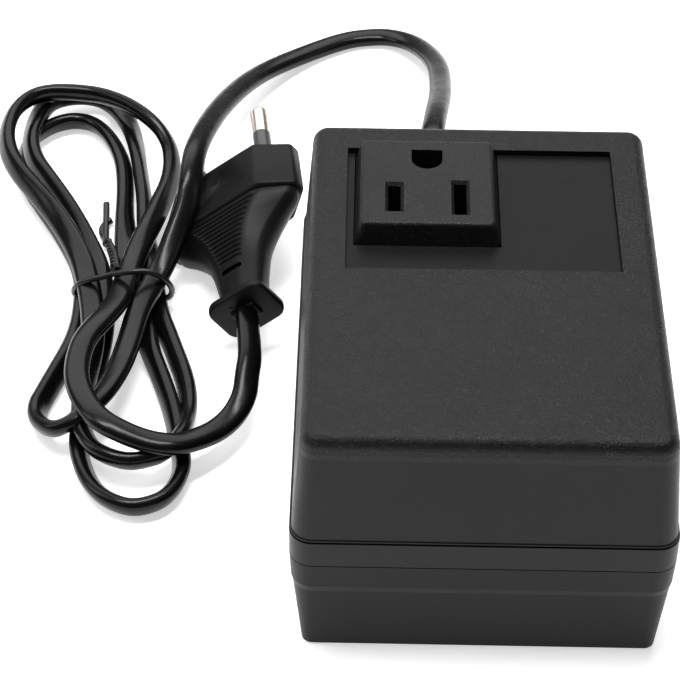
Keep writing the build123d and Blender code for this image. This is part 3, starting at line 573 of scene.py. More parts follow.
class Bench:
    """The operators used on every piece."""

    line_order: int = 3
    line_steps: int = 10

    @staticmethod
    def clear() -> None:
        """Deselect everything, the imported nodes too."""
        if bpy.context.object and bpy.context.object.mode != "OBJECT":
            bpy.ops.object.mode_set(mode="OBJECT")
        bpy.ops.object.select_all(action="DESELECT")

    @classmethod
    def take(cls, *pieces: bpy.types.Object) -> None:
        """Select some pieces alone.

        Args:
            pieces: The pieces, of which the first becomes active.
        """
        cls.clear()
        for piece in pieces:
            piece.select_set(True)
        bpy.context.view_layer.objects.active = pieces[0]

    @classmethod
    def edit(cls, piece: bpy.types.Object, action: str = "DESELECT") -> None:
        """Open a piece in edit mode.

        Args:
            piece: The piece.
            action: Whether all of its mesh is selected or none.
        """
        cls.take(piece)
        bpy.ops.object.mode_set(mode="EDIT")
        bpy.ops.mesh.select_all(action=action)

    @staticmethod
    def fix() -> None:
        """Put the place, turn and size of what is selected into its mesh."""
        bpy.ops.object.transform_apply(location=True, rotation=True, scale=True)

    @classmethod
    def block(cls, name: str, low: Point, high: Point) -> bpy.types.Object:
        """Add a block between two corners.

        Args:
            name: The piece's name.
            low: Its lowest corner.
            high: Its highest corner.

        Returns:
            The block, with its place in its mesh.
        """
        cls.clear()
        middle = tuple((a + b) / 2 for a, b in zip(low, high))
        size = tuple(b - a for a, b in zip(low, high))
        bpy.ops.mesh.primitive_cube_add(size=1, location=middle, scale=size)
        piece = bpy.context.object
        piece.name = name
        cls.fix()
        return piece

    @classmethod
    def slice(cls, piece: bpy.types.Object, through: Point, outward: Point) -> None:
        """Cut a piece by a plane, drop what is outside and close the cut.

        Args:
            piece: The piece.
            through: A point on the plane.
            outward: The direction of the side that is dropped.
        """
        cls.edit(piece, "SELECT")
        bpy.ops.mesh.bisect(
            plane_co=through,
            plane_no=Vector(outward).normalized(),
            use_fill=True,
            clear_outer=True,
            threshold=WELD,
        )
        bpy.ops.object.mode_set(mode="OBJECT")

    @classmethod
    def modify(cls, piece: bpy.types.Object, kind: str, settings: dict[str, object]) -> None:
        """Add a modifier, set it up and apply it.

        Args:
            piece: The piece.
            kind: The modifier's type.
            settings: Its settings.
        """
        cls.take(piece)
        modifier = piece.modifiers.new(kind.lower(), kind)
        for name, setting in settings.items():
            setattr(modifier, name, setting)
        bpy.ops.object.modifier_apply(modifier=modifier.name)

    @classmethod
    def soften(
        cls, piece: bpy.types.Object, width: float, segments: int = 3, angle: float = 30.0
    ) -> None:
        """Round a piece's sharp edges.

        Args:
            piece: The piece.
            width: How far the rounding reaches from each edge.
            segments: How many faces it has across.
            angle: The angle in degrees above which an edge is sharp.
        """
        settings = {
            "width": width,
            "segments": segments,
            "limit_method": "ANGLE",
            "angle_limit": math.radians(angle),
            "use_clamp_overlap": True,
        }
        cls.modify(piece, "BEVEL", settings)

    @classmethod
    def carve(cls, piece: bpy.types.Object, tool: bpy.types.Object) -> None:
        """Cut a tool's shape out of a piece and throw the tool away.

        Args:
            piece: The piece.
            tool: The tool.
        """
        settings = {"operation": "DIFFERENCE", "solver": "EXACT", "object": tool, "use_self": True}
        cls.modify(piece, "BOOLEAN", settings)
        bpy.data.objects.remove(tool, do_unlink=True)

    @classmethod
    def join(cls, name: str, pieces: Sequence[bpy.types.Object]) -> bpy.types.Object:
        """Join pieces into one and name it.

        Args:
            name: The name.
            pieces: Two pieces or more.

        Returns:
            The joined piece.
        """
        cls.take(*pieces)
        bpy.ops.object.join()
        joined = bpy.context.object
        joined.name = name
        return joined

    @classmethod
    def close(cls, piece: bpy.types.Object, angle: float = 35.0) -> None:
        """Merge doubles, point the faces outwards and shade a piece smooth.

        Args:
            piece: The piece.
            angle: The angle in degrees above which an edge stays sharp.
        """
        cls.edit(piece, "SELECT")
        bpy.ops.mesh.remove_doubles(threshold=WELD)
        bpy.ops.mesh.normals_make_consistent(inside=False)
        bpy.ops.object.mode_set(mode="OBJECT")
        bpy.ops.object.shade_smooth_by_angle(angle=math.radians(angle))

    @classmethod
    def set_down(cls, piece: bpy.types.Object, place: Matrix) -> None:
        """Put a piece in its place, and the place into its mesh.

        Args:
            piece: The piece, modelled round the origin.
            place: Its place.
        """
        cls.take(piece)
        piece.matrix_world = place
        cls.fix()

    @staticmethod
    def dress(piece: bpy.types.Object, look: Look) -> None:
        """Give a new piece its only finish."""
        piece.data.materials.clear()
        piece.data.materials.append(look.value.material())

    @classmethod
    def line(cls, name: str, points: Sequence[Point], closed: bool = False) -> bpy.types.Object:
        """Add a smooth line through the air.

        Args:
            name: The line's name.
            points: Its control points.
            closed: Whether it runs back into its start.

        Returns:
            A curve object with no thickness.
        """
        curve = bpy.data.curves.new(name, "CURVE")
        curve.dimensions = "3D"
        curve.resolution_u = cls.line_steps
        curve.twist_mode = "Z_UP"
        spline = curve.splines.new("NURBS")
        spline.points.add(len(points) - 1)
        for spot, point in zip(spline.points, points):
            spot.co = (*point, 1.0)
        spline.order_u = cls.line_order
        spline.use_cyclic_u = closed
        spline.use_endpoint_u = not closed
        line = bpy.data.objects.new(name, curve)
        bpy.context.collection.objects.link(line)
        return line

    @staticmethod
    def read(line: bpy.types.Object) -> list[Point]:
        """Read a line that has no thickness.

        Args:
            line: The line.

        Returns:
            The points along it.
        """
        mesh = bpy.data.meshes.new_from_object(line)
        points = [tuple(vertex.co) for vertex in mesh.vertices]
        bpy.data.meshes.remove(mesh)
        return points

    @classmethod
    def to_mesh(cls, line: bpy.types.Object) -> bpy.types.Object:
        """Turn a curve with a thickness into a mesh.

        Args:
            line: The curve object.

        Returns:
            The same object with its mesh.
        """
        cls.take(line)
        bpy.ops.object.convert(target="MESH")
        return bpy.context.object


# ---- studio


@dataclass(frozen=True)
class Lamp:
    """One soft rectangular lamp that hangs at a place and faces a point."""

    name: str
    place: Point
    aim: Point
    size: tuple[float, float]
    power: float

    def hang(self) -> bpy.types.Object:
        """Hang the lamp.

        Returns:
            The lamp.
        """
        data = bpy.data.lights.new(self.name, "AREA")
        data.shape = "RECTANGLE"
        data.size, data.size_y = self.size
        data.energy = self.power
        lamp = bpy.data.objects.new(self.name, data)
        bpy.context.collection.objects.link(lamp)
        facing = (Vector(self.aim) - Vector(self.place)).to_track_quat("-Z", "Y")
        lamp.matrix_world = Matrix.Translation(self.place) @ facing.to_matrix().to_4x4()
        return lamp


@dataclass
class Studio:
    """The camera at the photograph's place, a pale floor and soft lights."""

    lens: float = 123.37
    sensor: float = 36.0
    clip: tuple[float, float] = (0.01, 20.0)
    eye: Point = (-0.02200, -0.33326, 0.33502)
    pan: float = -0.84
    tilt: float = 42.02
    roll: float = 0.39
    floor_half: float = 3.0
    floor_cloud: float = 0.4
    glow_reach: tuple[float, float] = (0.35, 0.8)
    glow: tuple[Colour, Colour] = (grey(0.55), grey(0.2))
    surround: float = 0.14
    lamps: tuple[Lamp, ...] = (
        Lamp("overhead", (-0.1, 0.15, 1.2), (0.0, 0.0, 0.0), (0.9, 0.16), 14.0),
        Lamp("behind", (-0.3, 1.05, 0.95), (0.0, 0.0, 0.0), (1.8, 0.9), 12.5),
        Lamp("left", (-1.1, 0.0, 0.8), (-0.05, 0.03, 0.0), (0.4, 0.9), 3.5),
        Lamp("right", (1.1, 0.1, 0.8), (0.0, 0.0, 0.0), (0.4, 0.9), 0.7),
    )

    def camera(self) -> bpy.types.Object:
        """Set up the camera.

        Returns:
            The camera.
        """
        pan, tilt, roll = (math.radians(angle) for angle in (self.pan, self.tilt, self.roll))
        ahead = Vector(
            (math.sin(pan) * math.cos(tilt), math.cos(pan) * math.cos(tilt), -math.sin(tilt))
        )
        level = Vector((math.cos(pan), -math.sin(pan), 0.0))
        up = level.cross(ahead)
        right = math.cos(roll) * level + math.sin(roll) * up
        top = math.cos(roll) * up - math.sin(roll) * level
        data = bpy.data.cameras.new("camera")
        data.lens = self.lens
        data.sensor_width = self.sensor
        data.clip_start, data.clip_end = self.clip
        camera = bpy.data.objects.new("camera", data)
        bpy.context.collection.objects.link(camera)
        camera.matrix_world = stand(right, top, -ahead, self.eye)
        bpy.context.scene.camera = camera
        return camera

    def floor(self) -> bpy.types.Object:
        """Lay the pale floor, whose own faint glow fades away from the object.

        Returns:
            The floor.
        """
        Bench.clear()
        bpy.ops.mesh.primitive_plane_add(size=2 * self.floor_half)
        floor = bpy.context.object
        floor.name = "floor"
        shop = NodeShop("floor white")
        drift = shop.noise(shop.place(), self.floor_cloud)
        length = {"operation": "LENGTH"}
        reach = shop.node("ShaderNodeVectorMath", length, {0: shop.place()}, output="Value")
        sockets = {
            "Base Color": shop.tint(drift, grey(0.93), grey(0.95)),
            "Roughness": 0.9,
            "Specular IOR Level": 0.2,
            "Emission Color": shop.tint(shop.spread(reach, *self.glow_reach), *self.glow),
            "Emission Strength": 1.0,
        }
        floor.data.materials.append(shop.finish(sockets))
        return floor

    def lights(self) -> None:
        """Light the scene: an even pale surround and soft lamps above and at the sides."""
        world = bpy.data.worlds.new("surround")
        bpy.context.scene.world = world
        world.use_nodes = True
        background = world.node_tree.nodes["Background"]
        background.inputs["Color"].default_value = grey(1.0)
        background.inputs["Strength"].default_value = self.surround
        for lamp in self.lamps:
            lamp.hang()
        bpy.context.scene.view_settings.view_transform = "Standard"


# ---- power cord


@dataclass
class PowerCord:
    """The flat twin cord: out of the bush, round into the loose hank and on to the plug.

    The control points repeat the solid route's run and follow the loops of the real cord.
    Each is a place and the section's roll there, in degrees.
    """

    width: float = 0.0052
    thickness: float = 0.0033
    squareness: float = 2.4
    exit: Point = (-0.0080, 0.0710, 0.0227)
    real_length: float = 1.142
    profile_points: int = 40

    def lead(self) -> list[Station]:
        """Follow the cord from the bush over the table to the tie.

        Returns:
            The stations.
        """
        return [
            (-0.0080, 0.0710, 0.0227, 0), (-0.0080, 0.0815, 0.0227, 0),
            (-0.0074, 0.0874, 0.0215, 0), (-0.0066, 0.0961, 0.0190, 0),
            (-0.0056, 0.1063, 0.0155, 0), (-0.0053, 0.1167, 0.0120, 0),
            (-0.0056, 0.1282, 0.0085, 0), (-0.0081, 0.1382, 0.0055, 0),
            (-0.0119, 0.1457, 0.0032, 0), (-0.0171, 0.1495, 0.0020, 0),
            (-0.0219, 0.1498, 0.0017, 0), (-0.0283, 0.1483, 0.0017, 0),
            (-0.0378, 0.1418, 0.0020, 0), (-0.0466, 0.1321, 0.0041, -4),
            (-0.0519, 0.1209, 0.0077, -8), (-0.0567, 0.1044, 0.0128, -12),
            (-0.0594, 0.0888, 0.0173, -18), (-0.0607, 0.0775, 0.0196, -24),
            (-0.0609, 0.0698, 0.0184, -23), (-0.0614, 0.0648, 0.0154, -23),
            (-0.0634, 0.0598, 0.0124, -22), (-0.0652, 0.0543, 0.0097, -15),
            (-0.0673, 0.0490, 0.0077, -7),
        ]

    def loops(self) -> list[Station]:
        """Follow the cord through the hank's loops, in the order that it takes.

        Returns:
            The stations.
        """
        return [
            # first turn below the tie
            (-0.0705, 0.0398, 0.0070, 0), (-0.0715, 0.0296, 0.0070, 0),
            (-0.0728, 0.0199, 0.0078, 10), (-0.0752, 0.0111, 0.0087, 20),
            (-0.0785, 0.0063, 0.0084, 30), (-0.0815, 0.0041, 0.0070, 41),
            (-0.0851, 0.0041, 0.0051, 51), (-0.0887, 0.0084, 0.0030, 62),
            (-0.0895, 0.0129, 0.0025, 62), (-0.0883, 0.0171, 0.0025, 62),
            (-0.0864, 0.0239, 0.0025, 62), (-0.0842, 0.0311, 0.0024, 45),
            (-0.0830, 0.0385, 0.0021, 27), (-0.0827, 0.0452, 0.0028, 10),
            # first turn above it
            (-0.0837, 0.0560, 0.0030, 0), (-0.0899, 0.0703, 0.0022, -31),
            (-0.0953, 0.0791, 0.0025, -62), (-0.0999, 0.0871, 0.0025, -62),
            (-0.1022, 0.0969, 0.0025, -62), (-0.1018, 0.1038, 0.0025, -62),
            (-0.0988, 0.1083, 0.0025, -62), (-0.0953, 0.1112, 0.0025, -62),
            (-0.0911, 0.1123, 0.0025, -62), (-0.0864, 0.1105, 0.0025, -62),
            (-0.0822, 0.1047, 0.0025, -62), (-0.0791, 0.0966, 0.0025, -62),
            (-0.0778, 0.0884, 0.0026, -64), (-0.0771, 0.0789, 0.0026, -65),
            (-0.0762, 0.0700, 0.0025, -32), (-0.0747, 0.0570, 0.0030, 0),
            # second turn below
            (-0.0707, 0.0437, 0.0030, 0), (-0.0689, 0.0361, 0.0027, 33),
            (-0.0671, 0.0297, 0.0026, 66), (-0.0648, 0.0233, 0.0026, 66),
            (-0.0626, 0.0165, 0.0026, 66), (-0.0610, 0.0108, 0.0026, 66),
            (-0.0597, 0.0040, 0.0026, 65), (-0.0585, -0.0014, 0.0026, 65),
            (-0.0585, -0.0054, 0.0026, 64), (-0.0599, -0.0100, 0.0025, 63),
            (-0.0625, -0.0132, 0.0025, 63), (-0.0675, -0.0150, 0.0025, 62),
            (-0.0729, -0.0126, 0.0025, 62), (-0.0765, -0.0083, 0.0025, 62),
            (-0.0790, -0.0018, 0.0025, 62), (-0.0801, 0.0043, 0.0025, 62),
            (-0.0793, 0.0147, 0.0025, 62), (-0.0788, 0.0252, 0.0023, 41),
            (-0.0782, 0.0360, 0.0025, 21), (-0.0787, 0.0458, 0.0030, 0),
            # second turn above
            (-0.0806, 0.0566, 0.0032, 0), (-0.0853, 0.0674, 0.0039, -31),
            (-0.0900, 0.0770, 0.0050, -62), (-0.0948, 0.0846, 0.0059, -62),
            (-0.0992, 0.0922, 0.0059, -62), (-0.1009, 0.1002, 0.0059, -62),
            (-0.1004, 0.1083, 0.0054, -31), (-0.0987, 0.1165, 0.0046, 0),
            (-0.0931, 0.1202, 0.0040, 0), (-0.0867, 0.1207, 0.0032, 0),
            (-0.0819, 0.1175, 0.0024, 0), (-0.0782, 0.1093, 0.0025, -36),
            (-0.0760, 0.0999, 0.0026, -72), (-0.0743, 0.0904, 0.0026, -72),
            (-0.0729, 0.0823, 0.0026, -72), (-0.0721, 0.0733, 0.0026, -72),
            (-0.0694, 0.0569, 0.0032, -10),
            # third turn below
            (-0.0679, 0.0476, 0.0032, 10), (-0.0664, 0.0412, 0.0031, 38),
            (-0.0641, 0.0361, 0.0026, 66), (-0.0620, 0.0298, 0.0026, 65),
            (-0.0596, 0.0225, 0.0026, 65), (-0.0584, 0.0162, 0.0026, 64),
            (-0.0582, 0.0092, 0.0034, 64), (-0.0590, 0.0023, 0.0059, 63),
            (-0.0619, -0.0028, 0.0059, 63), (-0.0651, -0.0041, 0.0056, 62),
            (-0.0688, -0.0051, 0.0056, 62), (-0.0730, -0.0040, 0.0059, 62),
            (-0.0766, -0.0015, 0.0060, 62), (-0.0792, 0.0042, 0.0060, 62),
            (-0.0799, 0.0107, 0.0059, 62), (-0.0796, 0.0197, 0.0059, 62),
            (-0.0793, 0.0289, 0.0061, 31), (-0.0801, 0.0382, 0.0062, 0),
            # third turn above
            (-0.0819, 0.0475, 0.0066, 0), (-0.0848, 0.0574, 0.0071, -21),
            (-0.0902, 0.0681, 0.0076, -41), (-0.0956, 0.0757, 0.0086, -62),
            (-0.1012, 0.0832, 0.0093, -62), (-0.1047, 0.0908, 0.0093, -62),
            (-0.1060, 0.0985, 0.0093, -62), (-0.1051, 0.1065, 0.0093, -62),
            (-0.1019, 0.1121, 0.0093, -62), (-0.0971, 0.1142, 0.0093, -62),
            (-0.0912, 0.1142, 0.0093, -62), (-0.0849, 0.1131, 0.0093, -62),
            (-0.0785, 0.1096, 0.0093, -62), (-0.0726, 0.1050, 0.0082, -62),
            (-0.0687, 0.1004, 0.0058, -62), (-0.0672, 0.0944, 0.0043, -62),
            (-0.0674, 0.0867, 0.0038, -62), (-0.0687, 0.0786, 0.0047, -48),
            (-0.0701, 0.0708, 0.0055, -34), (-0.0720, 0.0619, 0.0065, -20),
            (-0.0736, 0.0511, 0.0072, -10),
        ]

    def tail(self) -> list[Station]:
        """Follow the cord from the tie round into the plug's guard.

        Returns:
            The stations.
        """
        return [
            (-0.0746, 0.0400, 0.0090, 0), (-0.0770, 0.0326, 0.0105, 0),
            (-0.0802, 0.0258, 0.0112, 0), (-0.0811, 0.0188, 0.0113, 0),
            (-0.0807, 0.0123, 0.0115, 0), (-0.0783, 0.0056, 0.0118, 0),
            (-0.0748, 0.0004, 0.0118, 0), (-0.0698, -0.0018, 0.0105, 0),
            (-0.0650, -0.0029, 0.0092, 0), (-0.0603, -0.0031, 0.0086, 0),
            (-0.0565, -0.0008, 0.0074, 0), (-0.0519, 0.0032, 0.0063, 7),
            (-0.0485, 0.0076, 0.0064, 13), (-0.0464, 0.0125, 0.0077, 20),
            (-0.0462, 0.0176, 0.0092, 25), (-0.0456, 0.0226, 0.0103, 29),
            (-0.0471, 0.0346, 0.0109, 34),
        ]

    def profile(self) -> bpy.types.Object:
        """Draw the cord's flat section, a squared oval.

        Returns:
            The section as a closed flat curve.
        """
        outline = []
        for step in range(self.profile_points):
            angle = 2 * math.pi * step / self.profile_points
            across, up = math.cos(angle), math.sin(angle)
            x = math.copysign(abs(across) ** (2 / self.squareness), across) * self.width / 2
            y = math.copysign(abs(up) ** (2 / self.squareness), up) * self.thickness / 2
            outline.append((x, y))
        curve = bpy.data.curves.new("cord section", "CURVE")
        curve.dimensions = "2D"
        spline = curve.splines.new("POLY")
        spline.points.add(len(outline) - 1)
        for spot, (x, y) in zip(spline.points, outline):
            spot.co = (x, y, 0.0, 1.0)
        spline.use_cyclic_u = True
        section = bpy.data.objects.new("cord section", curve)
        bpy.context.collection.objects.link(section)
        return section

    def build(self) -> tuple[bpy.types.Object, list[Point]]:
        """Make the cord.

        Returns:
            The cord as a mesh, and the points that it follows.
        """
        stations = self.lead() + self.loops() + self.tail()
        line = Bench.line("mains_cord", [station[:3] for station in stations])
        path = Bench.read(line)
        for spot, station in zip(line.data.splines[0].points, stations):
            spot.tilt = math.radians(station[3])
        section = self.profile()
        line.data.bevel_mode = "OBJECT"
        line.data.bevel_object = section
        line.data.use_fill_caps = True
        cord = Bench.to_mesh(line)
        bpy.data.objects.remove(section, do_unlink=True)
        Bench.close(cord, angle=50.0)
        Bench.dress(cord, Look.SHEATH)
        return cord, path

    def declare(
        self, cord: bpy.types.Object
    ) -> None:
        """Hang the cord on the root body and hide the imported cord's pieces.

        Args:
            cord: The cord's mesh.
        """
        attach(cord, "root")
        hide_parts("cord_lead", "cord_hank", "cord_tail")


# ---- plug


@dataclass(frozen=True)
class Section:
    """One eight-sided section of the plug's grip, at a distance behind its face."""

    distance: float
    half_width: float
    half_flat: float
    half_thickness: float
    half_end: float


@dataclass
class FlatPlug:
    """The moulded two-pin plug: a bevelled head, a ribbed waist and a guard round the cord.

    It is modelled upright, with x across the pins, y towards the wide face and z back from the
    pin face, and then set down on the cord's end.
    """

    face: Point = (-0.0522, 0.0761, 0.0123)
    yaw: float = -7.1
    pitch: float = 2.6
    roll: float = 36.0
    head_half_width: float = 0.0173
    head_half_flat: float = 0.0106
    head_half_thickness: float = 0.00685
    head_half_end: float = 0.0015
    head_length: float = 0.0137
    head_edge: float = 0.0009
    dimple_radius: float = 0.0062
    dimple_depth: float = 0.0006
    dimple_back: float = 0.0043
    grip_edge: float = 0.0016
    rib_first: float = 0.0152
    rib_pitch: float = 0.00122
    rib_count: int = 12
    rib_radius: float = 0.0005
    slot_back: float = 0.0312
    slot_half: float = 0.0026
    slot_half_height: float = 0.0006
    slot_depth: float = 0.0022
    guard_back: float = 0.0403
    guard_half_width: float = 0.0071
    guard_half_height: float = 0.0058
    guard_thickness: float = 0.0018
    guard_corner: float = 0.0030
    guard_edge: float = 0.0005
    collar_half_width: float = 0.0030
    collar_half_height: float = 0.0021
    collar_edge: float = 0.0012
    mark_length: float = 0.0026
    mark_half_width: float = 0.00014
    mark_half_height: float = 0.0002
    mark_edge: float = 0.00008
    mark_turn: float = 28.0

    def sections(self) -> list[Section]:
        """Return the grip's sections from the head to the guard.

        Returns:
            The sections, worked out from rows in millimetres.
        """
        rows = [
            (12.4, 16.4, 10.0, 6.10, 1.50),
            (14.0, 16.3, 9.6, 6.20, 1.50),
            (15.5, 15.8, 8.3, 6.20, 1.55),
            (17.5, 13.5, 6.8, 6.10, 1.60),
            (19.5, 11.6, 5.6, 5.95, 1.70),
            (21.5, 9.95, 4.7, 5.75, 1.75),
            (23.5, 8.55, 4.1, 5.45, 1.80),
            (25.5, 7.55, 3.6, 5.10, 1.85),
            (28.0, 6.8, 3.15, 4.70, 1.90),
            (30.5, 6.3, 2.9, 4.35, 1.95),
            (33.0, 5.9, 2.7, 4.05, 2.00),
            (36.0, 5.5, 2.7, 3.90, 2.00),
            (40.6, 5.3, 2.7, 3.80, 2.00),
        ]
        return [Section(*(size * MM for size in row)) for row in rows]

    def section_at(self, distance: float) -> Section:
        """Return the grip's section between two of its rows.

        Args:
            distance: How far behind the face it lies.

        Returns:
            The section.
        """
        rows = self.sections()
        for near, far in zip(rows, rows[1:]):
            if near.distance <= distance <= far.distance:
                share = (distance - near.distance) / (far.distance - near.distance)
                sizes = zip(astuple(near), astuple(far))
                return Section(*(low + share * (high - low) for low, high in sizes))
        return rows[-1]

    def head(self) -> bpy.types.Object:
        """Make the head: a block with its four long corners cut off and its edges rounded.

        Returns:
            The head.
        """
        width, flat = self.head_half_width, self.head_half_flat
        thickness, end = self.head_half_thickness, self.head_half_end
        low, high = (-width, -thickness, 0.0), (width, thickness, self.head_length)
        head = Bench.block("plug_head", low, high)
        for side in (-1, 1):
            for face in (-1, 1):
                outward = (side * (thickness - end), face * (width - flat), 0.0)
                Bench.slice(head, (side * flat, face * thickness, 0.0), outward)
        Bench.soften(head, self.head_edge, segments=4)
        for face in (-1, 1):
            middle = face * (thickness + self.dimple_radius - self.dimple_depth)
            Bench.clear()
            bpy.ops.mesh.primitive_uv_sphere_add(
                segments=48,
                ring_count=32,
                radius=self.dimple_radius,
                location=(0.0, middle, self.dimple_back),
            )
            Bench.carve(head, bpy.context.object)
        return head

    def ring(self, section: Section) -> bpy.types.Object:
        """Lay one eight-sided ring of the grip.

        Args:
            section: Its sizes.

        Returns:
            The ring, without a face.
        """
        Bench.clear()
        bpy.ops.mesh.primitive_circle_add(
            vertices=8,
            radius=1.0,
            location=(0.0, 0.0, section.distance),
            rotation=(0.0, 0.0, math.pi / 8),
        )
        ring = bpy.context.object
        Bench.fix()
        for vertex in ring.data.vertices:
            wide = abs(vertex.co.x) > 0.5
            x = section.half_width if wide else section.half_flat
            y = section.half_end if wide else section.half_thickness
            vertex.co.x = math.copysign(x, vertex.co.x)
            vertex.co.y = math.copysign(y, vertex.co.y)
        return ring

    def grip(self) -> bpy.types.Object:
        """Make the grip: rings bridged from the head to the guard, with the long edges rounded.

        Returns:
            The grip.
        """
        grip = Bench.join("plug_grip", [self.ring(section) for section in self.sections()])
        Bench.edit(grip, "SELECT")
        bpy.ops.mesh.bridge_edge_loops()
        bpy.ops.mesh.select_all(action="DESELECT")
        bpy.ops.mesh.select_mode(type="EDGE")
        bpy.ops.mesh.select_non_manifold()
        bpy.ops.mesh.fill_holes(sides=0)
        bpy.ops.mesh.select_all(action="SELECT")
        bpy.ops.mesh.normals_make_consistent(inside=False)
        bpy.ops.object.mode_set(mode="OBJECT")
        Bench.soften(grip, self.grip_edge, segments=5, angle=24.0)
        return grip

    def rib_bar(self, reach: float, height: float, back: float) -> bpy.types.Object:
        """Make a bar across the plug with rounded ends, used to press a groove.

        Args:
            reach: How far it reaches to each side.
            height: How far it lies from the middle plane.
            back: How far it lies behind the face.

        Returns:
            The bar.
        """
        Bench.clear()
        bpy.ops.mesh.primitive_cylinder_add(
            vertices=14,
            radius=self.rib_radius,
            depth=2 * reach,
            location=(0.0, height, back),
            rotation=(0.0, math.pi / 2, 0.0),
        )
        bar = bpy.context.object
        Bench.fix()
        Bench.soften(bar, 0.8 * self.rib_radius, angle=60.0)
        return bar

    def grooves(self) -> bpy.types.Object:
        """Make the bars that press the ribs and the slot into both wide faces.

        Returns:
            The bars as one tool.
        """
        bars = []
        for face in (-1, 1):
            for count in range(self.rib_count):
                back = self.rib_first + count * self.rib_pitch
                here = self.section_at(back)
                reach = here.half_flat + 0.4 * self.rib_radius
                height = face * (here.half_thickness + 0.1 * self.rib_radius)
                bars.append(self.rib_bar(reach, height, back))
            height = face * self.section_at(self.slot_back).half_thickness
            slot = Bench.block(
                "plug_slot",
                (-self.slot_half, height - self.slot_depth, self.slot_back - self.slot_half_height),
                (self.slot_half, height + self.slot_depth, self.slot_back + self.slot_half_height),
            )
            Bench.soften(slot, 0.9 * self.slot_half_height, segments=4)
            bars.append(slot)
        return Bench.join("plug_grooves", bars)

    def plate(self) -> bpy.types.Object:
        """Make the guard's thin plate with its round corners.

        Returns:
            The plate.
        """
        width, height = self.guard_half_width, self.guard_half_height
        half = self.guard_thickness / 2
        low = (-width, -height, self.guard_back - half)
        high = (width, height, self.guard_back + half)
        plate = Bench.block("plug_guard", low, high)
        Bench.edit(plate)
        bpy.ops.mesh.select_mode(type="EDGE")
        bpy.ops.object.mode_set(mode="OBJECT")
        for edge in plate.data.edges:
            first, second = (plate.data.vertices[index].co for index in edge.vertices)
            edge.select = abs(first.z - second.z) > half
        bpy.ops.object.mode_set(mode="EDIT")
        bpy.ops.mesh.bevel(offset=self.guard_corner, segments=8, affect="EDGES")
        bpy.ops.object.mode_set(mode="OBJECT")
        Bench.soften(plate, self.guard_edge)
        return plate

    def collar(self) -> bpy.types.Object:
        """Make the small raised block on the guard that the cord comes out of.

        Returns:
            The block.
        """
        width, height = self.collar_half_width, self.collar_half_height
        low = self.guard_back + 0.25 * self.guard_thickness
        high = self.guard_back + 0.95 * self.guard_thickness
        collar = Bench.block("plug_collar", (-width, -height, low), (width, height, high))
        Bench.soften(collar, self.collar_edge, segments=5)
        return collar

    def mark(self, side: int) -> bpy.types.Object:
        """Make one of the two slanting strokes on the guard over the collar.

        Args:
            side: Which way it leans, -1 or 1.

        Returns:
            The stroke.
        """
        width, height = self.mark_half_width, self.mark_half_height
        bar = Bench.block("plug_mark", (0.0, -width, -height), (self.mark_length, width, height))
        Bench.soften(bar, self.mark_edge, segments=2)
        turn = Matrix.Rotation(math.radians(self.mark_turn), 4, "Z")
        mirror = Matrix.Scale(side, 4, (1.0, 0.0, 0.0))
        top = self.guard_back + self.guard_thickness / 2
        place = Matrix.Translation((0.0, self.collar_half_height, top))
        Bench.set_down(bar, place @ mirror @ turn)
        Bench.close(bar)
        return bar

    def guard(self) -> bpy.types.Object:
        """Return the guard with its collar and its two strokes."""
        pieces = [self.plate(), self.collar(), self.mark(-1), self.mark(1)]
        return Bench.join("plug_guard", pieces)

    def placing(self) -> Matrix:
        """Work out the turn and move from the upright plug to its place on the cord.

        Returns:
            The place.
        """
        yaw, pitch, roll = (math.radians(angle) for angle in (self.yaw, self.pitch, self.roll))
        out = Vector(
            (math.sin(yaw) * math.cos(pitch), math.cos(yaw) * math.cos(pitch), math.sin(pitch))
        )
        level = Vector((math.cos(yaw), -math.sin(yaw), 0.0))
        across = level * math.cos(roll) + level.cross(out) * math.sin(roll)
        back = -out
        return stand(across, back.cross(across), back, self.face)

    def build(self) -> bpy.types.Object:
        """Make the plug's moulded body in its place.

        Returns:
            The body.
        """
        grip = self.grip()
        Bench.carve(grip, self.grooves())
        plug = Bench.join("plug_moulding", [grip, self.head(), self.guard()])
        Bench.close(plug, angle=30.0)
        Bench.set_down(plug, self.placing())
        Bench.dress(plug, Look.PLUG)
        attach(plug, "root")
        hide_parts("plug_body")
        return plug


# ---- wire tie


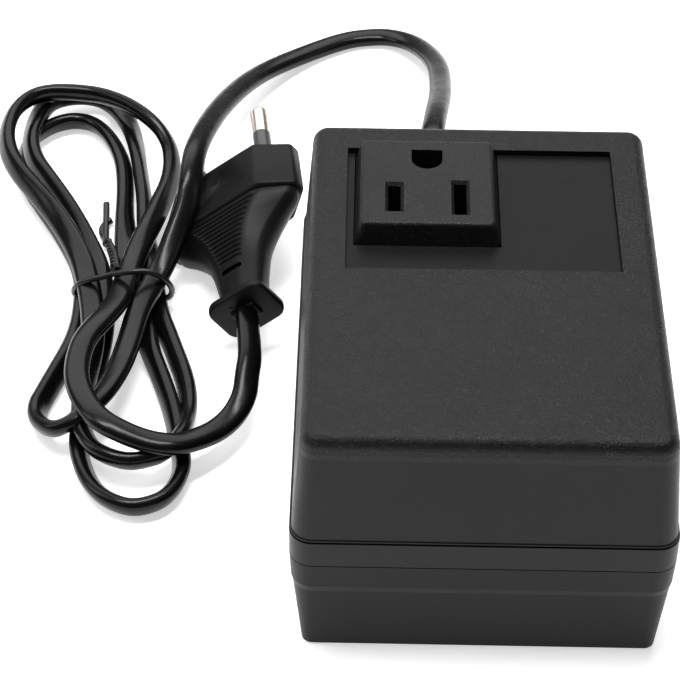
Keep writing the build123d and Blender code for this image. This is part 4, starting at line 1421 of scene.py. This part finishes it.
@dataclass
class WireTie:
    """The thin covered wire round the hank's waist, with its twisted ends."""

    band_radius: float = 0.00066
    strand_radius: float = 0.00055
    end_radius: float = 0.00077
    roundness: int = 3
    twist_turns: float = 4.0
    steps: int = 66

    def band(self) -> list[Point]:
        """Follow the band: over the cords, round their sides and under them.

        Returns:
            The points.
        """
        return [
            (-0.0856, 0.0484, 0.0040), (-0.0845, 0.0468, 0.0072),
            (-0.0818, 0.0464, 0.0090), (-0.0792, 0.0466, 0.0096),
            (-0.0765, 0.0470, 0.0103), (-0.0737, 0.0464, 0.0114),
            (-0.0711, 0.0463, 0.0118), (-0.0688, 0.0465, 0.0117),
            (-0.0664, 0.0463, 0.0107), (-0.0645, 0.0466, 0.0085),
            (-0.0638, 0.0480, 0.0050), (-0.0650, 0.0492, 0.0016),
            (-0.0700, 0.0497, 0.0008), (-0.0760, 0.0497, 0.0008),
            (-0.0820, 0.0494, 0.0008), (-0.0849, 0.0492, 0.0014),
        ]

    def spine(self) -> list[Point]:
        """Follow the middle of the twisted pair, from the band down to the floor.

        Returns:
            The points.
        """
        return [
            (-0.0762, 0.0488, 0.0103), (-0.0766, 0.0525, 0.0080),
            (-0.0773, 0.0570, 0.0062), (-0.0782, 0.0615, 0.0042),
            (-0.0793, 0.0655, 0.0024), (-0.0803, 0.0690, 0.0015),
        ]

    def ends(self) -> list[list[Point]]:
        """Follow the two loose ends: the straight one and the hooked one.

        Returns:
            The points of each.
        """
        return [
            [
                (-0.0804, 0.0672, 0.0018), (-0.0808, 0.0715, 0.0014),
                (-0.0812, 0.0765, 0.0013), (-0.0817, 0.0822, 0.0013),
            ],
            [
                (-0.0805, 0.0690, 0.0014), (-0.0816, 0.0712, 0.0010),
                (-0.0820, 0.0738, 0.0010), (-0.0811, 0.0757, 0.0010),
                (-0.0799, 0.0764, 0.0013),
            ],
        ]

    def wire(
        self, name: str, points: Sequence[Point], radius: float, closed: bool = False
    ) -> bpy.types.Object:
        """Lay a round wire along some points.

        Args:
            name: The wire's name.
            points: Its control points.
            radius: Its radius.
            closed: Whether it runs back into its start.

        Returns:
            The wire as a mesh.
        """
        line = Bench.line(name, points, closed)
        line.data.bevel_depth = radius
        line.data.bevel_resolution = self.roundness
        line.data.use_fill_caps = True
        return Bench.to_mesh(line)

    def wound(self, points: Sequence[Vector], start: float) -> list[Point]:
        """Wind one strand of the pair round its middle line.

        Args:
            points: The points along the middle line.
            start: The angle that the strand starts at.

        Returns:
            The strand's points.
        """
        strand = []
        for step in range(self.steps + 1):
            share = step / self.steps
            place = share * (len(points) - 1)
            low = min(int(place), len(points) - 2)
            here = points[low].lerp(points[low + 1], place - low)
            along = (points[low + 1] - points[low]).normalized()
            side = along.cross(Vector((0.0, 0.0, 1.0))).normalized()
            top = side.cross(along)
            angle = start + 2 * math.pi * self.twist_turns * share
            offset = (side * math.cos(angle) + top * math.sin(angle)) * self.strand_radius
            strand.append(tuple(here + offset))
        return strand

    def twisted(self) -> list[bpy.types.Object]:
        """Make the two strands wound round each other.

        Returns:
            The strands.
        """
        line = Bench.line("tie_spine", self.spine())
        points = [Vector(point) for point in Bench.read(line)]
        bpy.data.objects.remove(line, do_unlink=True)
        strands = [self.wound(points, start) for start in (0.0, math.pi)]
        return [self.wire("tie_strand", strand, self.strand_radius) for strand in strands]

    def build(self) -> bpy.types.Object:
        """Make the tie.

        Returns:
            The tie.
        """
        parts = [self.wire("tie_band", self.band(), self.band_radius, closed=True)]
        parts += self.twisted()
        parts += [self.wire("tie_end", points, self.end_radius) for points in self.ends()]
        tie = Bench.join("wire_tie", parts)
        Bench.close(tie, angle=50.0)
        Bench.dress(tie, Look.TIE)
        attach(tie, "root")
        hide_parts("twist_tie")
        return tie


# ---- case and inside


@dataclass
class CaseAndInside:
    """The pieces whose solid shape is already right: they only get their finishes."""

    def looks(self) -> dict[Look, tuple[str, ...]]:
        """Sort the carried-over nodes by finish.

        Returns:
            The names of the nodes that share each finish.
        """
        return {
            Look.BASE: ("base_shell",),
            Look.COVER: ("top_cover",),
            Look.PANEL: ("nameplate",),
            Look.OUTLET: ("outlet_housing",),
            Look.INNER: ("outlet_retainer",),
            Look.BRASS: ("contact_left", "contact_right", "contact_earth"),
            Look.SCREW: ("outlet_screws", "case_screws", "clamp_screws", "core_screws"),
            Look.CORE: ("core_e", "core_i"),
            Look.BOBBIN: ("bobbin",),
            Look.INNER_COIL: ("winding_inner",),
            Look.OUTER_COIL: ("winding_outer",),
            Look.TAPE: ("coil_tape",),
            Look.TIN: ("solder_lugs",),
            Look.FUSE: ("thermal_fuse",),
            Look.DARK_WIRE: ("wire_in_line", "wire_fuse", "wire_out_right"),
            Look.LIGHT_WIRE: ("wire_in_neutral", "wire_out_left"),
            Look.BUSH: ("cord_bush",),
            Look.SHEATH: ("cord_inner",),
            Look.CLAMP: ("cord_clamp",),
            Look.BRIDGE: ("plug_bridge",),
            Look.PIN: ("plug_pins",),
            Look.SLEEVE: ("plug_sleeves",),
        }

    def dress(self) -> None:
        """Give every carried-over node its finish."""
        for look, names in self.looks().items():
            for name in names:
                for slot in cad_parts[name].material_slots:
                    slot.material = look.value.material()
                LOG.info("node %s: %s", name, look.value.name)


def main() -> None:
    """Build the scene: camera, cord and plug first, then the tie, the finishes and the lights."""
    logging.basicConfig(level=logging.INFO, format="%(message)s")
    studio = Studio()
    studio.camera()
    studio.floor()
    cord_maker = PowerCord()
    cord, path = cord_maker.build()
    LOG.info("cord: %d points along its line", len(path))
    plug = FlatPlug().build()
    LOG.info("plug: %d faces", len(plug.data.polygons))
    tie = WireTie().build()
    LOG.info("tie: %d faces", len(tie.data.polygons))
    cord_maker.declare(cord)
    CaseAndInside().dress()
    studio.lights()


if __name__ == "__main__":
    main()
